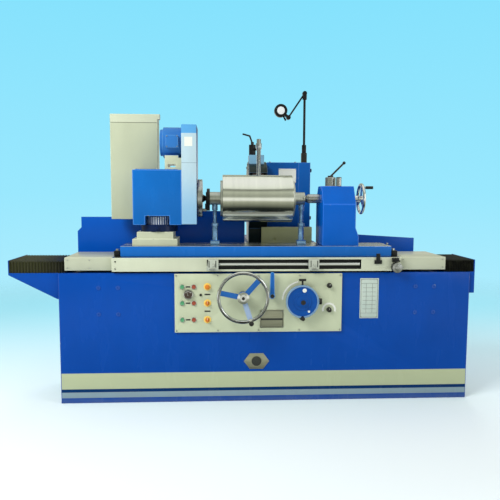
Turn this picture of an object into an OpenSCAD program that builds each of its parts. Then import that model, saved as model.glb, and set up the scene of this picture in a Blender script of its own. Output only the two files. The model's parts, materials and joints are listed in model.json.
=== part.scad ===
/* [Bed] */
// Length of the bed, left to right
bed_w = 2120; // [1900:10:2400]
// Height of the bed's top face above the floor
bed_h = 674; // [620:1:760]
// Depth of the front box, which carries the table
front_depth = 480; // [440:5:600]
// Depth of the rear box, which carries the wheel slide
rear_depth = 760; // [700:5:900]
// Width of the rear box
rear_w = 900; // [700:10:1000]
// Wall of the bed casting
bed_wall = 25; // [16:1:34]
// Thickness of the bed's top
bed_top_t = 60; // [52:1:80]
// Middle of the rear box and the wheel slide, right of the bed's middle
slide_x = 120; // [100:1:140]

/* [Ways] */
// Middle of the vee way, behind the bed's front face
vee_back = 95; // [85:1:105]
// Width of the vee way at its foot
vee_w = 80; // [60:1:90]
// Height of the vee way
vee_h = 34; // [24:1:38]
// Middle of the flat way, behind the bed's front face
flat_back = 262; // [252:1:268]
// Width of the flat way
flat_w = 56; // [40:1:62]
// Height of the flat way
flat_h = 30; // [24:1:36]
// Width of a cross way
cross_w = 60; // [40:1:70]
// Height of a cross way
cross_h = 30; // [20:1:36]

/* [Lower table] */
// Left end of the lower table, from the bed's middle
table_left = 790; // [778:1:820]
// Right end of the lower table, from the bed's middle
table_right = 688; // [680:1:720]
// How far the table's front bar stands ahead of the bed's face
table_proud = 15; // [10:1:20]
// Depth of the table casting behind the bed's front face
table_depth = 315; // [305:1:340]
// Height of the lower table
table_t = 70; // [62:1:84]
// Left end of the groove, from the bed's middle
groove_left = 312; // [306:1:330]
// Right end of the groove, from the bed's middle
groove_right = 479; // [450:1:520]
// Width of a trip dog
dog_w = 51; // [36:1:60]
// Middle of the left dog, from the bed's middle
dog_left_at = 279; // [270:1:282]
// Middle of the right dog, from the bed's middle
dog_right_at = 232; // [220:1:250]
// Height of a dog's face
dog_h = 56; // [50:1:60]

/* [Bellows and covers] */
// Length of the left end cover
cover_left_l = 239; // [220:1:250]
// Length of the right end cover
cover_right_l = 243; // [230:1:255]
// Height of the left and right end covers
cover_h = 66; // [56:1:70]
// Depth of the covers
cover_d = 300; // [296:1:306]
// Depth of the bellows
bellows_d = 287; // [270:1:296]
// Height of the bellows
bellows_h = 62; // [54:1:66]
// Number of folds in a bellows
fold_n = 18; // [12:1:22]
// Reach of the left bellows bracket beyond the bed
bracket_left_l = 250; // [230:1:280]
// Reach of the right bellows bracket beyond the bed
bracket_right_l = 32; // [26:1:60]
// Drop of the left bracket's gusset at the bed
gusset_h = 133; // [100:1:160]
// Drop of the right bracket at the bed
bracket_right_h = 112; // [80:1:140]

/* [Splash guards] */
// Front of the guards, behind the bed's front face
guard_back = 445; // [438:1:452]
// Left end of the left guard, from the bed's middle
guard_left_x = 1040; // [1000:1:1060]
// Right end of the left guard, left of the bed's middle
guard_left_end = 100; // [98:1:130]
// Height of the left guard's outer stretch above the bed
guard_outer_h = 268; // [240:1:290]
// Height of the left guard's inner stretch above the bed
guard_inner_h = 303; // [280:1:330]
// Left end of the right guard, right of the bed's middle
guard_right_x = 372; // [366:1:400]
// Right end of the right guard, right of the bed's middle
guard_right_end = 908; // [880:1:930]
// Height of the right guard at its left end
guard_right_h = 178; // [150:1:200]
// Height of the right guard at its right end
guard_right_end_h = 146; // [120:1:150]

/* [Control panel] */
// Width of the panel
panel_w = 859; // [840:1:900]
// Height of the panel
panel_h = 302; // [290:1:310]
// Thickness of the panel
panel_t = 12; // [11:1:16]
// Middle of the panel, left of the bed's middle
panel_at = 47; // [40:1:60]
// Length of the reversing lever
lever_l = 126; // [110:1:126]

/* [Handwheels] */
// Rim radius of the table handwheel
wheel_rim_r = 123; // [100:1:128]
// Radius of the infeed dial
dial_r = 84; // [74:1:88]
// Rim radius of the tailstock handwheel
tail_rim_r = 76; // [60:1:84]

/* [Upper table] */
// Left end of the upper table, from the bed's middle
upper_left = 757; // [752:1:757]
// Right end of the upper table, from the bed's middle
upper_right = 657; // [640:1:657]
// Front of the upper table, behind the bed's front face
upper_back = 60; // [54:1:66]
// Depth of the upper table
upper_d = 230; // [226:1:236]
// Height of the upper table
upper_t = 51.7; // [46:0.1:60]
// Radius of the swivel pin
pivot_r = 25; // [18:1:32]
// Swivel pin, left of the bed's middle
pivot_at = 50; // [20:1:80]

/* [Work head] */
// Middle of the work head, left of the bed's middle
head_at = 568; // [560:1:576]
// Height of the work axis above the upper table
centre_h = 246; // [236:1:260]
// Width of the work head body
head_w = 250; // [240:1:260]
// Depth of the work head body
head_d = 210; // [200:1:216]
// Height of the work head body
head_h = 283; // [270:1:300]
// Height of each of the two steps of the plinth
plinth_h = 36; // [30:1:40]
// Width of the plinth's lower step
plinth_w = 231; // [220:1:240]
// Radius of the swivel flange
flange_r = 98; // [90:1:103]
// Height of the swivel flange
flange_h = 37; // [30:1:42]
// Radius of the graduated ring
scale_r = 70; // [60:1:76]
// Height of the belt cover
belt_cover_h = 510; // [500:1:530]
// Width of the drive cabinet
cabinet_w = 255; // [240:1:260]
// Height of the drive cabinet
cabinet_h = 568; // [540:1:590]
// Radius of the work motor
motor_r = 80; // [72:1:84]
// Radius of the work head's pulley
head_pulley_r = 88; // [70:1:90]
// Radius of the work motor's pulley
motor_pulley_r = 44; // [34:1:50]
// Radius of the face plate
face_r = 100; // [90:1:104]

/* [Workpiece] */
// Radius of the roll
roll_r = 125; // [110:1:126]
// Length of the roll's body
roll_l = 369; // [350:1:372]
// Radius of the roll's journals
journal_r = 34; // [30:1:40]
// Length of the left journal
journal_left_l = 77; // [74:1:84]
// Radius of the roll's end collars
collar_r = 95; // [80:1:100]

/* [Tailstock] */
// Length of the tailstock body
tail_w = 175; // [165:1:185]
// Depth of the tailstock body
tail_d = 210; // [200:1:220]
// Height of the body above the work axis
tail_crown = 67; // [60:1:76]
// Radius of the quill
quill_r = 24; // [22:1:28]

/* [Wheel slide and wheelhead] */
// Width of the wheel slide
slide_w = 420; // [400:1:424]
// Length of the wheel slide
slide_l = 700; // [680:5:720]
// Height of the wheel slide
slide_t = 106; // [90:1:108]
// Depth of the spindle housing
housing_d = 220; // [200:1:240]
// Height of the spindle housing above the work axis
housing_crown = 209; // [190:1:212]
// Right side of the wheelhead, right of the bed's middle
case_right = 288; // [286:1:292]
// Radius of the grinding wheel
wheel_r = 200; // [190:1:204]
// Width of the grinding wheel
wheel_w = 63; // [50:1:72]
// Middle of the grinding wheel, left of the bed's middle
wheel_at = 24; // [22:1:26]
// Gap between the roll and the wheel at rest
wheel_gap = 60; // [58:1:64]
// Width of the wheel guard
wheel_guard_w = 108; // [104:1:112]
// Radius of the wheel motor
drive_motor_r = 110; // [100:1:116]

/* [Lamp and coolant] */
// Length of the lamp's lower post
lamp_post_l = 334; // [300:1:350]
// Length of the lamp's upper arm
lamp_arm_l = 170; // [150:1:190]
// Radius of the lamp's head
lamp_head_r = 38; // [30:1:44]

/* [Fits] */
// Radial clearance of a shaft that turns or slides in a bore
run_clear = 0.05; // [0.02:0.01:0.08]
// Gap between faces that slide or move past each other
slide_gap = 0.3; // [0.3:0.05:0.5]
// Clearance around things that pass loosely through a hole
loose = 2; // [1:0.5:3]

/* [Hidden] */
$fn = 96;
cut = 1; // overrun of every cut

// Small sizes: _r is a radius, _h a height, _w a width, _d a depth, _l a length, _t a thickness
cross_pitch = 260; // distance between the middles of the two cross ways
way_end = 30; // bare bed left at each end of the table ways
table_lift = 10; // air between the bed's top and the table
rail_h = 15;
rail_t = 14;
cover_wall = 5;
bracket_t = 5; // sheet of the brackets
guard_t = 4; // sheet of the guards
selector_r = 11;
button_r = 10;
meter_r = 25;
wheel_rim_t = 9; // half the thickness of the handwheel's rim
tail_rim_t = 8; // and of the tail handwheel's rim
sheet_t = 3; // wall of the covers and the cabinet
bed_floor_t = 20; // thickness of the bed's floor
belt_cover_w = 78;
spindle_r = 22;
face_t = 24;
collar_l = 12; // length of the roll's end collars
quill_out = 60; // quill's length between its cone and the tailstock body
base_h = 97;
case_w = 69;
guard_air = 9; // air between the wheel and its guard
wheel_guard_t = 6; // sheet of the wheel guard
grind_shaft_r = 30;
lamp_tube_r = 7; // radius of the lamp's post and arm
pipe_r = 12;
fold_d = 9; // depth of one bellows fold
bellows_back = 20; // front of the bellows, behind the bed's front face
cover_back = 10; // front of the covers, behind the bed's front face
pivot_h = 20;
scale_h = 42;
groove_d = 18;
dog_t = 26; // thickness of a dog ahead of the front bar
hand_shaft_r = 15; // radius of the handwheel shafts
drive_back = 410; // distance from the grinding spindle back to the wheel motor's axis
motor_rise = 290; // height of the work motor's axis above the work axis
journal_right_l = 59; // length of the right journal
dial_out = 60; // front of the infeed dial, ahead of the bed's front face
wheel_out = 90; // rim plane of the table handwheel, ahead of the bed's front face
lever_w = 25;
vee_top_w = 24; // width of the vee way at its top
groove_h = 49;
knob_r = 13;
button_out = 9; // how far a push button stands out
panel_drop = 3; // gap between the panel's top and the bed's top
cabinet_d = 98;
motor_l = 113;

// Heights, from the floor up
table_z = bed_h + table_lift;
table_top = table_z + table_t;
upper_z = table_top + slide_gap;
upper_top = upper_z + upper_t;
axis_z = upper_top + centre_h;
flange_z = upper_top + 2 * plinth_h;
head_z = flange_z + flange_h;
head_top = head_z + head_h;
slide_z = bed_h + table_lift;
slide_top = slide_z + slide_t;
base_top = slide_top + base_h;
case_top = axis_z + housing_crown;
panel_top = bed_h - panel_drop;
panel_z = panel_top - panel_h;

// Places from front to back, each a distance behind the bed's front face
bed_depth = front_depth + rear_depth;
front_y = -bed_depth / 2;
function back(d) = front_y + d;
axis_back = upper_back + upper_d / 2;
axis_y = back(axis_back);
panel_y = back(-panel_t);
wheel_y = axis_y + roll_r + wheel_gap + wheel_r;
spindle_behind = 80; // grinding axis behind the housing's front
slide_ahead = 40; // slide's front ahead of the housing's
bar_y = back(-table_proud);
head_y0 = axis_y - head_d / 2;
head_y1 = axis_y + head_d / 2;
housing_back = wheel_y - front_y - spindle_behind;
slide_back = housing_back - slide_ahead;

// Places from left to right, taken along the work axis
bed_x0 = -bed_w / 2;
bed_x1 = bed_w / 2;
face_gap = 3; // air between the belt cover and the face plate
cone_share = 0.866; // height of a sixty degree cone, as a share of its base diameter
nose_l = 18; // journal's distance from the face plate
head_right = head_w / 2 - head_at;
cover_right = head_right + belt_cover_w;
face_right = cover_right + face_gap + face_t;
roll_left = face_right + nose_l;
body_left = roll_left + journal_left_l + collar_l;
body_right = body_left + roll_l;
roll_right = body_right + collar_l + journal_right_l;
hole_r = 12; // radius of the roll's centre holes
seat_gap = 0.1; // play along the axis between a centre and its hole
tail_left = roll_right + 2 * (quill_r - hole_r) * cone_share + quill_out;
tail_right = tail_left + tail_w;

// Plain blocks and rods given by their end places
module block(x0, x1, y0, y1, z0, z1) translate([x0, y0, z0]) cube([x1 - x0, y1 - y0, z1 - z0]);
module rod_x(x0, x1, y, z, r)
  translate([x0, y, z]) rotate([0, 90, 0]) cylinder(h = x1 - x0, r = r);
module work_rod(x0, x1, r) rod_x(x0, x1, axis_y, axis_z, r);
module wheel_rod(x0, x1, r) rod_x(x0, x1, wheel_y, axis_z, r);
module rod_y(y0, y1, x, z, r)
  translate([x, y1, z]) rotate([90, 0, 0]) cylinder(h = y1 - y0, r = r);
module rod_z(z0, z1, x, y, r)
  translate([x, y, z0]) cylinder(h = z1 - z0, r = r);
// A shape drawn in Y and Z, run along X
module along_x(x0, x1, points)
  translate([x0, 0, 0]) rotate([90, 0, 90]) linear_extrude(x1 - x0) polygon(points);
// A shape drawn in X and Z, run along Y
module along_y(y0, y1, points)
  translate([0, y1, 0]) rotate([90, 0, 0]) linear_extrude(y1 - y0) polygon(points);
// A wheel rim round the Z axis
module rim(big, small)
  rotate_extrude() translate([big, 0]) circle(r = small);
// The space swept by a belt round two pulleys whose shafts run along X
module belt_loop(x0, x1, y0, z0, r0, y1, z1, r1) {
  reach = norm([y1 - y0, z1 - z0]);
  lean = asin((r0 - r1) / reach);
  aim = atan2(z1 - z0, y1 - y0);
  rod_x(x0, x1, y0, z0, r0);
  rod_x(x0, x1, y1, z1, r1);
  along_x(x0, x1, [
    [y0 + r0 * cos(aim + 90 - lean), z0 + r0 * sin(aim + 90 - lean)],
    [y0 + r0 * cos(aim - 90 + lean), z0 + r0 * sin(aim - 90 + lean)],
    [y1 + r1 * cos(aim - 90 + lean), z1 + r1 * sin(aim - 90 + lean)],
    [y1 + r1 * cos(aim + 90 - lean), z1 + r1 * sin(aim + 90 - lean)]]);
}

// Bed: a tee in plan, hollow, closed below, with the trough and the feed slot
trough_w = 40;
trough_d = 44;
trough_left = 520;
trough_right = 480;
ram_back = (vee_back + vee_w / 2 + flat_back - flat_w / 2) / 2;
nut_w = 60;
nut_l = 60;
nut_behind = 180; // nut behind the grinding axis
nut_y = wheel_y + nut_behind;
nut_play = 52; // slot left at each end of the nut's travel
nut_side = 5; // slot left beside the nut
rear_left = slide_x - rear_w / 2;
rear_right = slide_x + rear_w / 2;
module bed_casting() color([0.06, 0.33, 0.68]) difference() {
  union() {
    block(bed_x0, bed_x1, front_y, back(front_depth), 0, bed_h);
    block(rear_left, rear_right, back(front_depth) - cut, back(bed_depth), 0, bed_h);
  }
  block(bed_x0 + bed_wall, bed_x1 - bed_wall, back(bed_wall),
    back(front_depth - bed_wall), bed_floor_t, bed_h - bed_top_t);
  block(rear_left + bed_wall, rear_right - bed_wall, back(front_depth),
    back(bed_depth - bed_wall), bed_floor_t, bed_h - bed_top_t);
  block(-trough_left, trough_right, back(ram_back) - trough_w / 2,
    back(ram_back) + trough_w / 2, bed_h - trough_d, bed_h + cut);
  block(dial_x - nut_w / 2 - nut_side, dial_x + nut_w / 2 + nut_side,
    nut_y - nut_l / 2 - nut_play, nut_y + nut_l / 2 + nut_play + feed_back,
    bed_h - bed_top_t - cut, bed_h + cut);
  rod_y(front_y - cut, back(bed_wall) + cut, hand_x, hand_z, hand_shaft_r + run_clear);
  rod_y(front_y - cut, back(front_depth) + cut, dial_x, dial_z, screw_r + run_clear);
  rod_y(front_y - cut, back(bed_wall) + cut, lever_x, lever_z, lever_shaft_r + run_clear);
}

// Table ways on the front box and cross ways on the rear box
vee_points = [[-vee_w / 2, 0], [-vee_top_w / 2, vee_h], [vee_top_w / 2, vee_h], [vee_w / 2, 0]];
function vee_at(rise) = [for (p = vee_points) [back(vee_back) + p[0], bed_h + rise + p[1]]];
cross_end = 20; // bare bed at the ends of the cross ways
module ways() color([0.62, 0.64, 0.66]) {
  along_x(bed_x0 + way_end, bed_x1 - way_end, vee_at(0));
  block(bed_x0 + way_end, bed_x1 - way_end, back(flat_back) - flat_w / 2,
    back(flat_back) + flat_w / 2, bed_h, bed_h + flat_h);
  for (side = [-1, 1])
    translate([slide_x + side * cross_pitch / 2, 0, 0])
      block(-cross_w / 2, cross_w / 2, back(front_depth) - bed_wall,
        back(bed_depth) - cross_end, bed_h, bed_h + cross_h);
}

// Sheet brackets that carry the outer ends of the bellows
tray_back = 15;
tray_d = 300;
tray_x0 = bed_x0 - bracket_left_l;
tray_x1 = bed_x1 + bracket_right_l;
tray_y0 = back(tray_back);
tray_y1 = back(tray_back + tray_d);
lip_h = 64;
lip_t = 4;
gusset_foot = 10; // straight foot of the left gusset at the bed
bellows_z = bed_h + slide_gap;
module bellows_brackets() color([0.14, 0.35, 0.58]) {
  block(tray_x0, bed_x0, tray_y0, tray_y1,
    bed_h - bracket_t, bed_h);
  for (y = [tray_back, tray_back + tray_d - bracket_t])
    along_y(back(y), back(y + bracket_t), [
      [tray_x0, bed_h], [bed_x0, bed_h],
      [bed_x0, bed_h - gusset_h], [bed_x0 - gusset_foot, bed_h - gusset_h],
      [tray_x0, bed_h - 2 * bracket_t]]);
  block(tray_x0, tray_x0 + lip_t,
    tray_y0, tray_y1, bed_h - bracket_t, bed_h + lip_h);
  block(bed_x1, tray_x1, tray_y0, tray_y1,
    bed_h - bracket_t, bed_h);
  for (y = [tray_back, tray_back + tray_d - bracket_t])
    block(bed_x1, tray_x1, back(y), back(y + bracket_t),
      bed_h - bracket_right_h, bed_h);
  block(tray_x1 - lip_t, tray_x1,
    tray_y0, tray_y1, bed_h - bracket_right_h, bed_h + lip_h);
}

// A folded bellows from x0 to x1, open below round the ways
function folds(x0, x1, low, high) = [
  for (i = [0 : 2 * fold_n]) [x0 + (x1 - x0) * i / (2 * fold_n), i % 2 == 0 ? high - fold_d : high],
  for (i = [2 * fold_n : -1 : 0]) [x0 + (x1 - x0) * i / (2 * fold_n), low]];
function side_folds(x0, x1, near, far) = [
  for (i = [0 : 2 * fold_n]) [x0 + (x1 - x0) * i / (2 * fold_n), i % 2 == 0 ? far - fold_d : far],
  for (i = [2 * fold_n : -1 : 0])
    [x0 + (x1 - x0) * i / (2 * fold_n), i % 2 == 0 ? near + fold_d : near]];
bellows_skin = 6; // cloth and stiffener under a fold's root
module bellows(x0, x1) color([0.1, 0.11, 0.08]) difference() {
  intersection() {
    along_y(back(bellows_back), back(bellows_back + bellows_d),
      folds(x0, x1, bellows_z, bellows_z + bellows_h));
    translate([0, 0, bellows_z]) linear_extrude(bellows_h)
      polygon(side_folds(x0, x1, back(bellows_back), back(bellows_back + bellows_d)));
  }
  block(x0 - cut, x1 + cut, back(bellows_back) + fold_d + bellows_skin,
    back(bellows_back + bellows_d) - fold_d - bellows_skin,
    bellows_z - cut, bellows_z + bellows_h - fold_d - bellows_skin);
}
module bellows_left()
  bellows(tray_x0 + lip_t, -table_left - cover_left_l - slide_gap);
module bellows_right()
  bellows(table_right + cover_right_l + slide_gap, tray_x1 - lip_t);

// Splash guards behind the table, bent from sheet and carried on feet
guard_step_x = 384;
guard_top = bed_h + guard_outer_h;
guard_rim = 14;
guard_notch = 22;
guard_notch_h = 60;
notch_x = -guard_left_x - guard_notch;
guard_return = 30; // depth of the sheet's bent ends
module splash_guards() color([0.13, 0.36, 0.62]) {
  y0 = back(guard_back);
  along_y(y0, y0 + guard_t, [
    [-guard_left_x, bed_h], [-guard_left_end, bed_h],
    [-guard_left_end, bed_h + guard_inner_h], [-guard_step_x, bed_h + guard_inner_h],
    [-guard_step_x, guard_top], [-guard_left_x, guard_top],
    [-guard_left_x, guard_top - guard_notch_h],
    [notch_x, guard_top - guard_notch_h - guard_notch],
    [notch_x, bed_h]]);
  block(notch_x, notch_x + guard_t, y0,
    y0 + guard_return, bed_h, guard_top - guard_notch_h - guard_notch);
  block(-guard_left_end - guard_t, -guard_left_end, y0, y0 + guard_return, bed_h,
    bed_h + guard_inner_h);
  block(-guard_left_x, -guard_left_end, y0, y0 + guard_rim,
    guard_top - guard_t, guard_top);
  along_y(y0, y0 + guard_t, [
    [guard_right_x, bed_h], [guard_right_end, bed_h],
    [guard_right_end, bed_h + guard_right_end_h], [guard_right_x, bed_h + guard_right_h]]);
  block(guard_right_end - guard_t, guard_right_end, y0, y0 + guard_return, bed_h,
    bed_h + guard_right_end_h);
}

// Control panel on the bed's front face, with the holes of what it carries
button_xs = [-438, -379];
button_zs = [66, 150, 236]; // down from the panel's top
selector_x = -310;
hand_x = -131;
hand_drop = 110;
hand_z = panel_top - hand_drop;
dial_x = 172;
dial_drop = 138;
dial_z = panel_top - dial_drop;
lever_x = 19;
lever_drop = 111;
lever_z = panel_top - lever_drop;
lever_shaft_r = 9;
knob_x = 316;
knob_zs = [62, 188];
knob_stem_r = 5;
screw_r = 16;
pocket = 7; // blind depth behind a button at rest, beyond its travel
module control_panel() color([0.73, 0.77, 0.66]) difference() {
  block(-panel_at - panel_w / 2, -panel_at + panel_w / 2, panel_y, front_y, panel_z, panel_top);
  for (x = button_xs, drop = button_zs)
    rod_y(panel_y - cut, front_y + cut, x, panel_top - drop, button_r + slide_gap);
  for (drop = [button_zs[1], button_zs[2]])
    rod_y(panel_y - cut, front_y + cut, selector_x, panel_top - drop, knob_stem_r + run_clear);
  for (drop = knob_zs)
    rod_y(panel_y - cut, front_y + cut, knob_x, panel_top - drop, knob_stem_r + run_clear);
  rod_y(panel_y - cut, front_y + cut, hand_x, hand_z, hand_shaft_r + loose);
  rod_y(panel_y - cut, front_y + cut, dial_x, dial_z, screw_r + loose);
  rod_y(panel_y - cut, front_y + cut, lever_x, lever_z, lever_shaft_r + loose);
}

// Screws of the panel and plates, and the plugs in the bed's front face
panel_screw_r = 4;
panel_screw_h = 2.5;
panel_screw_in = 9; // from the panel's edge
plug_r = 11;
plug_h = 2;
plug_pitch = 98;
plug_drop = 74;
plug_span = 136;
plug_xs = [-812, 821];
socket_r = 4;
module screws() color([0.55, 0.57, 0.58]) {
  for (share = [0 : 0.25 : 1], z = [panel_z + panel_screw_in, panel_top - panel_screw_in])
    rod_y(panel_y - panel_screw_h, panel_y,
      (panel_w - 2 * panel_screw_in) * (share - 0.5) - panel_at, z, panel_screw_r);
  for (mid = plug_xs, side = [-1, 1], drop = [plug_drop, plug_drop + plug_span])
    difference() {
      rod_y(front_y - plug_h, front_y, mid + side * plug_pitch / 2, bed_h - drop, plug_r);
      translate([mid + side * plug_pitch / 2, front_y, bed_h - drop])
        rotate([90, 0, 0]) cylinder(h = plug_h + cut, r = socket_r, $fn = 6);
    }
}

// Name plate, chart plate and badge plate, all bare
plate_t = 2;
name_w = 122;
name_h = 94;
name_at = [20, 234]; // right of the bed's middle, down from the panel's top to its middle
chart_w = 98;
chart_h = 210;
chart_at = [528, 135]; // right of the bed's middle, down from the bed's top to its middle
badge_w = 133;
badge_h = 83;
badge_flat = 70;
badge_at = [-57, 462];
badge_ring_r = 30;
badge_ring_t = 4;
module plates() color([0.62, 0.66, 0.62]) {
  translate([name_at[0], 0, panel_top - name_at[1]])
    block(-name_w / 2, name_w / 2, panel_y - plate_t, panel_y, -name_h / 2, name_h / 2);
  translate([chart_at[0], 0, bed_h - chart_at[1]])
    block(-chart_w / 2, chart_w / 2, front_y - plate_t, front_y, -chart_h / 2, chart_h / 2);
  translate([badge_at[0], 0, bed_h - badge_at[1]]) {
    along_y(front_y - plate_t, front_y, [[-badge_w / 2, 0], [-badge_flat / 2, -badge_h / 2],
      [badge_flat / 2, -badge_h / 2], [badge_w / 2, 0], [badge_flat / 2, badge_h / 2],
      [-badge_flat / 2, badge_h / 2]]);
    difference() {
      rod_y(front_y - 2 * plate_t, front_y - plate_t, 0, 0, badge_ring_r);
      rod_y(front_y - 2 * plate_t - cut, front_y - plate_t + cut, 0, 0,
        badge_ring_r - badge_ring_t);
    }
  }
}

// Meter, indicator, signal lamp, button bezels and selector plates
meter_at = [-407, 104];
meter_t = 12;
dot_at = [-344, 108];
dot_r = 6.5;
dot_t = 5;
bezel_t = 3;
bezel_r = 13.5;
back_plate_r = 19;
back_plate_t = 2;
signal_t = 14;
module instruments() color([0.35, 0.33, 0.3]) {
  rod_y(panel_y - meter_t, panel_y, meter_at[0], panel_top - meter_at[1], meter_r);
  rod_y(panel_y - dot_t, panel_y, dot_at[0], panel_top - dot_at[1], dot_r);
  rod_y(panel_y - signal_t, panel_y, selector_x, panel_top - button_zs[0], selector_r);
  for (x = button_xs, drop = button_zs) difference() {
    rod_y(panel_y - bezel_t, panel_y, x, panel_top - drop, bezel_r);
    rod_y(panel_y - bezel_t - cut, panel_y + cut, x, panel_top - drop, button_r + slide_gap);
  }
  for (drop = button_zs) difference() {
    rod_y(panel_y - back_plate_t, panel_y, selector_x, panel_top - drop, back_plate_r);
    rod_y(panel_y - signal_t - cut, panel_y + cut, selector_x, panel_top - drop,
      drop == button_zs[0] ? selector_r : knob_stem_r + loose);
  }
}

// Push buttons: a plain round cap in its bezel
button_in = 7; // length of a button inside the panel
green = [0.25, 0.6, 0.38];
red = [0.65, 0.2, 0.14];
module button(i, j)
  rod_y(panel_y - button_out, panel_y + button_in, button_xs[i], panel_top - button_zs[j],
    button_r);
module start_button_top() color(green) button(0, 0);
module start_button_middle() color(green) button(0, 1);
module start_button_bottom() color(green) button(0, 2);
module stop_button_top() color(red) button(1, 0);
module stop_button_middle() color(red) button(1, 1);
module stop_button_bottom() color(red) button(1, 2);

// Rotary selectors: a round base with a grip bar across it
selector_t = 10;
selector_bar_t = 9;
selector_bar_w = 6;
module selector(drop) color([0.75, 0.4, 0.05]) {
  y0 = panel_y - back_plate_t - slide_gap;
  rod_y(y0 - selector_t, y0, selector_x, panel_top - drop, selector_r);
  rod_y(y0 - cut, front_y - slide_gap, selector_x, panel_top - drop, knob_stem_r);
  translate([selector_x, 0, panel_top - drop])
    block(-selector_bar_w / 2, selector_bar_w / 2, y0 - selector_t - selector_bar_t,
      y0 - selector_t + cut, -selector_r, selector_r);
}
module selector_upper() selector(button_zs[1]);
module selector_lower() selector(button_zs[2]);

// Feed knobs: a skirt, a grip and a stem
knob_l = 20;
skirt_t = 4;
grip_share = 0.8;
pointer_w = 3;
module knob(drop) color([0.06, 0.06, 0.06]) {
  z = panel_top - drop;
  y0 = panel_y - slide_gap;
  rod_y(y0 - skirt_t, y0, knob_x, z, knob_r);
  rod_y(y0 - knob_l, y0 - skirt_t + cut, knob_x, z, knob_r * grip_share);
  rod_y(y0 - cut, front_y - slide_gap, knob_x, z, knob_stem_r);
  block(knob_x - pointer_w / 2, knob_x + pointer_w / 2, y0 - skirt_t - pointer_w, y0 - cut,
    z, z + knob_r);
}
module speed_knob() knob(knob_zs[0]);
module dwell_knob() knob(knob_zs[1]);

// Reversing lever of the table, on a shaft through the bed's front wall
lever_t = 12;
lever_boss_r = 15;
lever_boss_l = 20;
lever_cap_r = 10;
lever_cap_t = 4;
lever_top_share = 0.8;
module reversing_lever() color([0.13, 0.4, 0.7]) {
  y0 = panel_y - slide_gap - lever_boss_l;
  along_y(y0 - lever_t, y0, [
    [lever_x - lever_w / 2, lever_z], [lever_x + lever_w / 2, lever_z],
    [lever_x + lever_w * lever_top_share / 2, lever_z + lever_l - lever_w / 2],
    [lever_x - lever_w * lever_top_share / 2, lever_z + lever_l - lever_w / 2]]);
  rod_y(y0 - lever_t, y0, lever_x, lever_z, lever_w / 2);
  rod_y(y0 - lever_t, y0, lever_x, lever_z + lever_l - lever_w / 2,
    lever_w * lever_top_share / 2);
  rod_y(y0 - cut, panel_y - slide_gap, lever_x, lever_z, lever_boss_r);
  rod_y(y0 - cut, back(bed_wall) + lever_cap_r, lever_x, lever_z, lever_shaft_r);
  rod_y(y0 - lever_t - lever_cap_t, y0 - lever_t + cut, lever_x, lever_z, lever_cap_r);
}

// Table handwheel: rim, three spokes, hub and shaft, with a grip on one spoke
spoke_w = 26;
spoke_t = 9;
spoke_turn = 48; // angle of the first spoke
hub_r = 30;
hub_l = 34;
hub_cap_r = 17;
hub_cap_t = 4;
collar_hub_r = 22;
shaft_in = 40; // shaft's reach behind the bed's front wall
grip_r = 12;
grip_l = 62;
module table_handwheel() color([0.62, 0.64, 0.62]) {
  y0 = back(-wheel_out);
  translate([hand_x, y0, hand_z]) rotate([90, 0, 0]) rim(wheel_rim_r, wheel_rim_t);
  for (turn = [0, 120, 240])
    translate([hand_x, y0, hand_z]) rotate([0, -spoke_turn - turn, 0])
      block(0, wheel_rim_r, -spoke_t / 2, spoke_t / 2, -spoke_w / 2, spoke_w / 2);
  rod_y(y0 - hub_l / 2, y0 + hub_l / 2, hand_x, hand_z, hub_r);
  rod_y(y0 - hub_l / 2 - hub_cap_t, y0, hand_x, hand_z, hub_cap_r);
  rod_y(y0, panel_y - slide_gap, hand_x, hand_z, collar_hub_r);
  rod_y(y0, back(bed_wall + shaft_in), hand_x, hand_z, hand_shaft_r);
  translate([hand_x, 0, hand_z]) rotate([0, -spoke_turn - 240, 0]) translate([wheel_rim_r, 0, 0])
    rod_y(y0 - wheel_rim_t - grip_l, y0 - wheel_rim_t, 0, 0, grip_r);
}

// Infeed wheel: dial disc with its rim ring, hub, clamp screws and grip, and the feed screw
dial_t = 22;
dial_rim_w = 8;
dial_step = 4;
dial_cap_r = 14;
dial_cap_t = 5;
dial_hub_r = 40;
tee_w = 36;
tee_t = 10;
tee_rise = 22;
tee_stem_r = 5;
side_knob_r = 16;
side_knob_l = 15;
dial_grip_r = 10;
dial_grip_l = 34;
dial_ear_r = 14;
dial_ear_t = 12;
feed_screw_back = 1000; // end of the feed screw behind the bed's front face
module infeed_wheel() color([0.05, 0.2, 0.5]) {
  y0 = back(-dial_out);
  mid = y0 + dial_t / 2;
  difference() {
    union() {
      rod_y(y0, y0 + dial_t, dial_x, dial_z, dial_r);
      rod_y(y0 + dial_t - cut, panel_y - slide_gap, dial_x, dial_z, dial_hub_r);
      rod_y(y0 + dial_t - dial_ear_t, y0 + dial_t, dial_x, dial_z - dial_r, dial_ear_r);
      rod_z(dial_z + dial_r - cut, dial_z + dial_r + tee_rise, dial_x, mid, tee_stem_r);
      block(dial_x - tee_w / 2, dial_x + tee_w / 2, mid - tee_t / 2, mid + tee_t / 2,
        dial_z + dial_r + tee_rise - cut, dial_z + dial_r + tee_rise + tee_t);
      rod_x(dial_x + dial_r - dial_rim_w, dial_x + dial_r + side_knob_l, mid, dial_z,
        side_knob_r * grip_share / 2);
      rod_x(dial_x + dial_r + cut, dial_x + dial_r + side_knob_l, mid, dial_z,
        side_knob_r);
    }
    rod_y(y0 - cut, y0 + dial_step, dial_x, dial_z, dial_r - dial_rim_w);
    rod_y(y0 - cut, panel_y, dial_x, dial_z, screw_r);
  }
  rod_y(y0 - dial_grip_l + dial_t - dial_ear_t, y0 + dial_t - dial_ear_t, dial_x,
    dial_z - dial_r, dial_grip_r);
  rod_y(y0 + dial_step - dial_cap_t, y0 + dial_step, dial_x, dial_z, dial_cap_r + screw_r);
  rod_y(y0 + dial_step - cut, back(feed_screw_back), dial_x, dial_z, screw_r);
}

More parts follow.
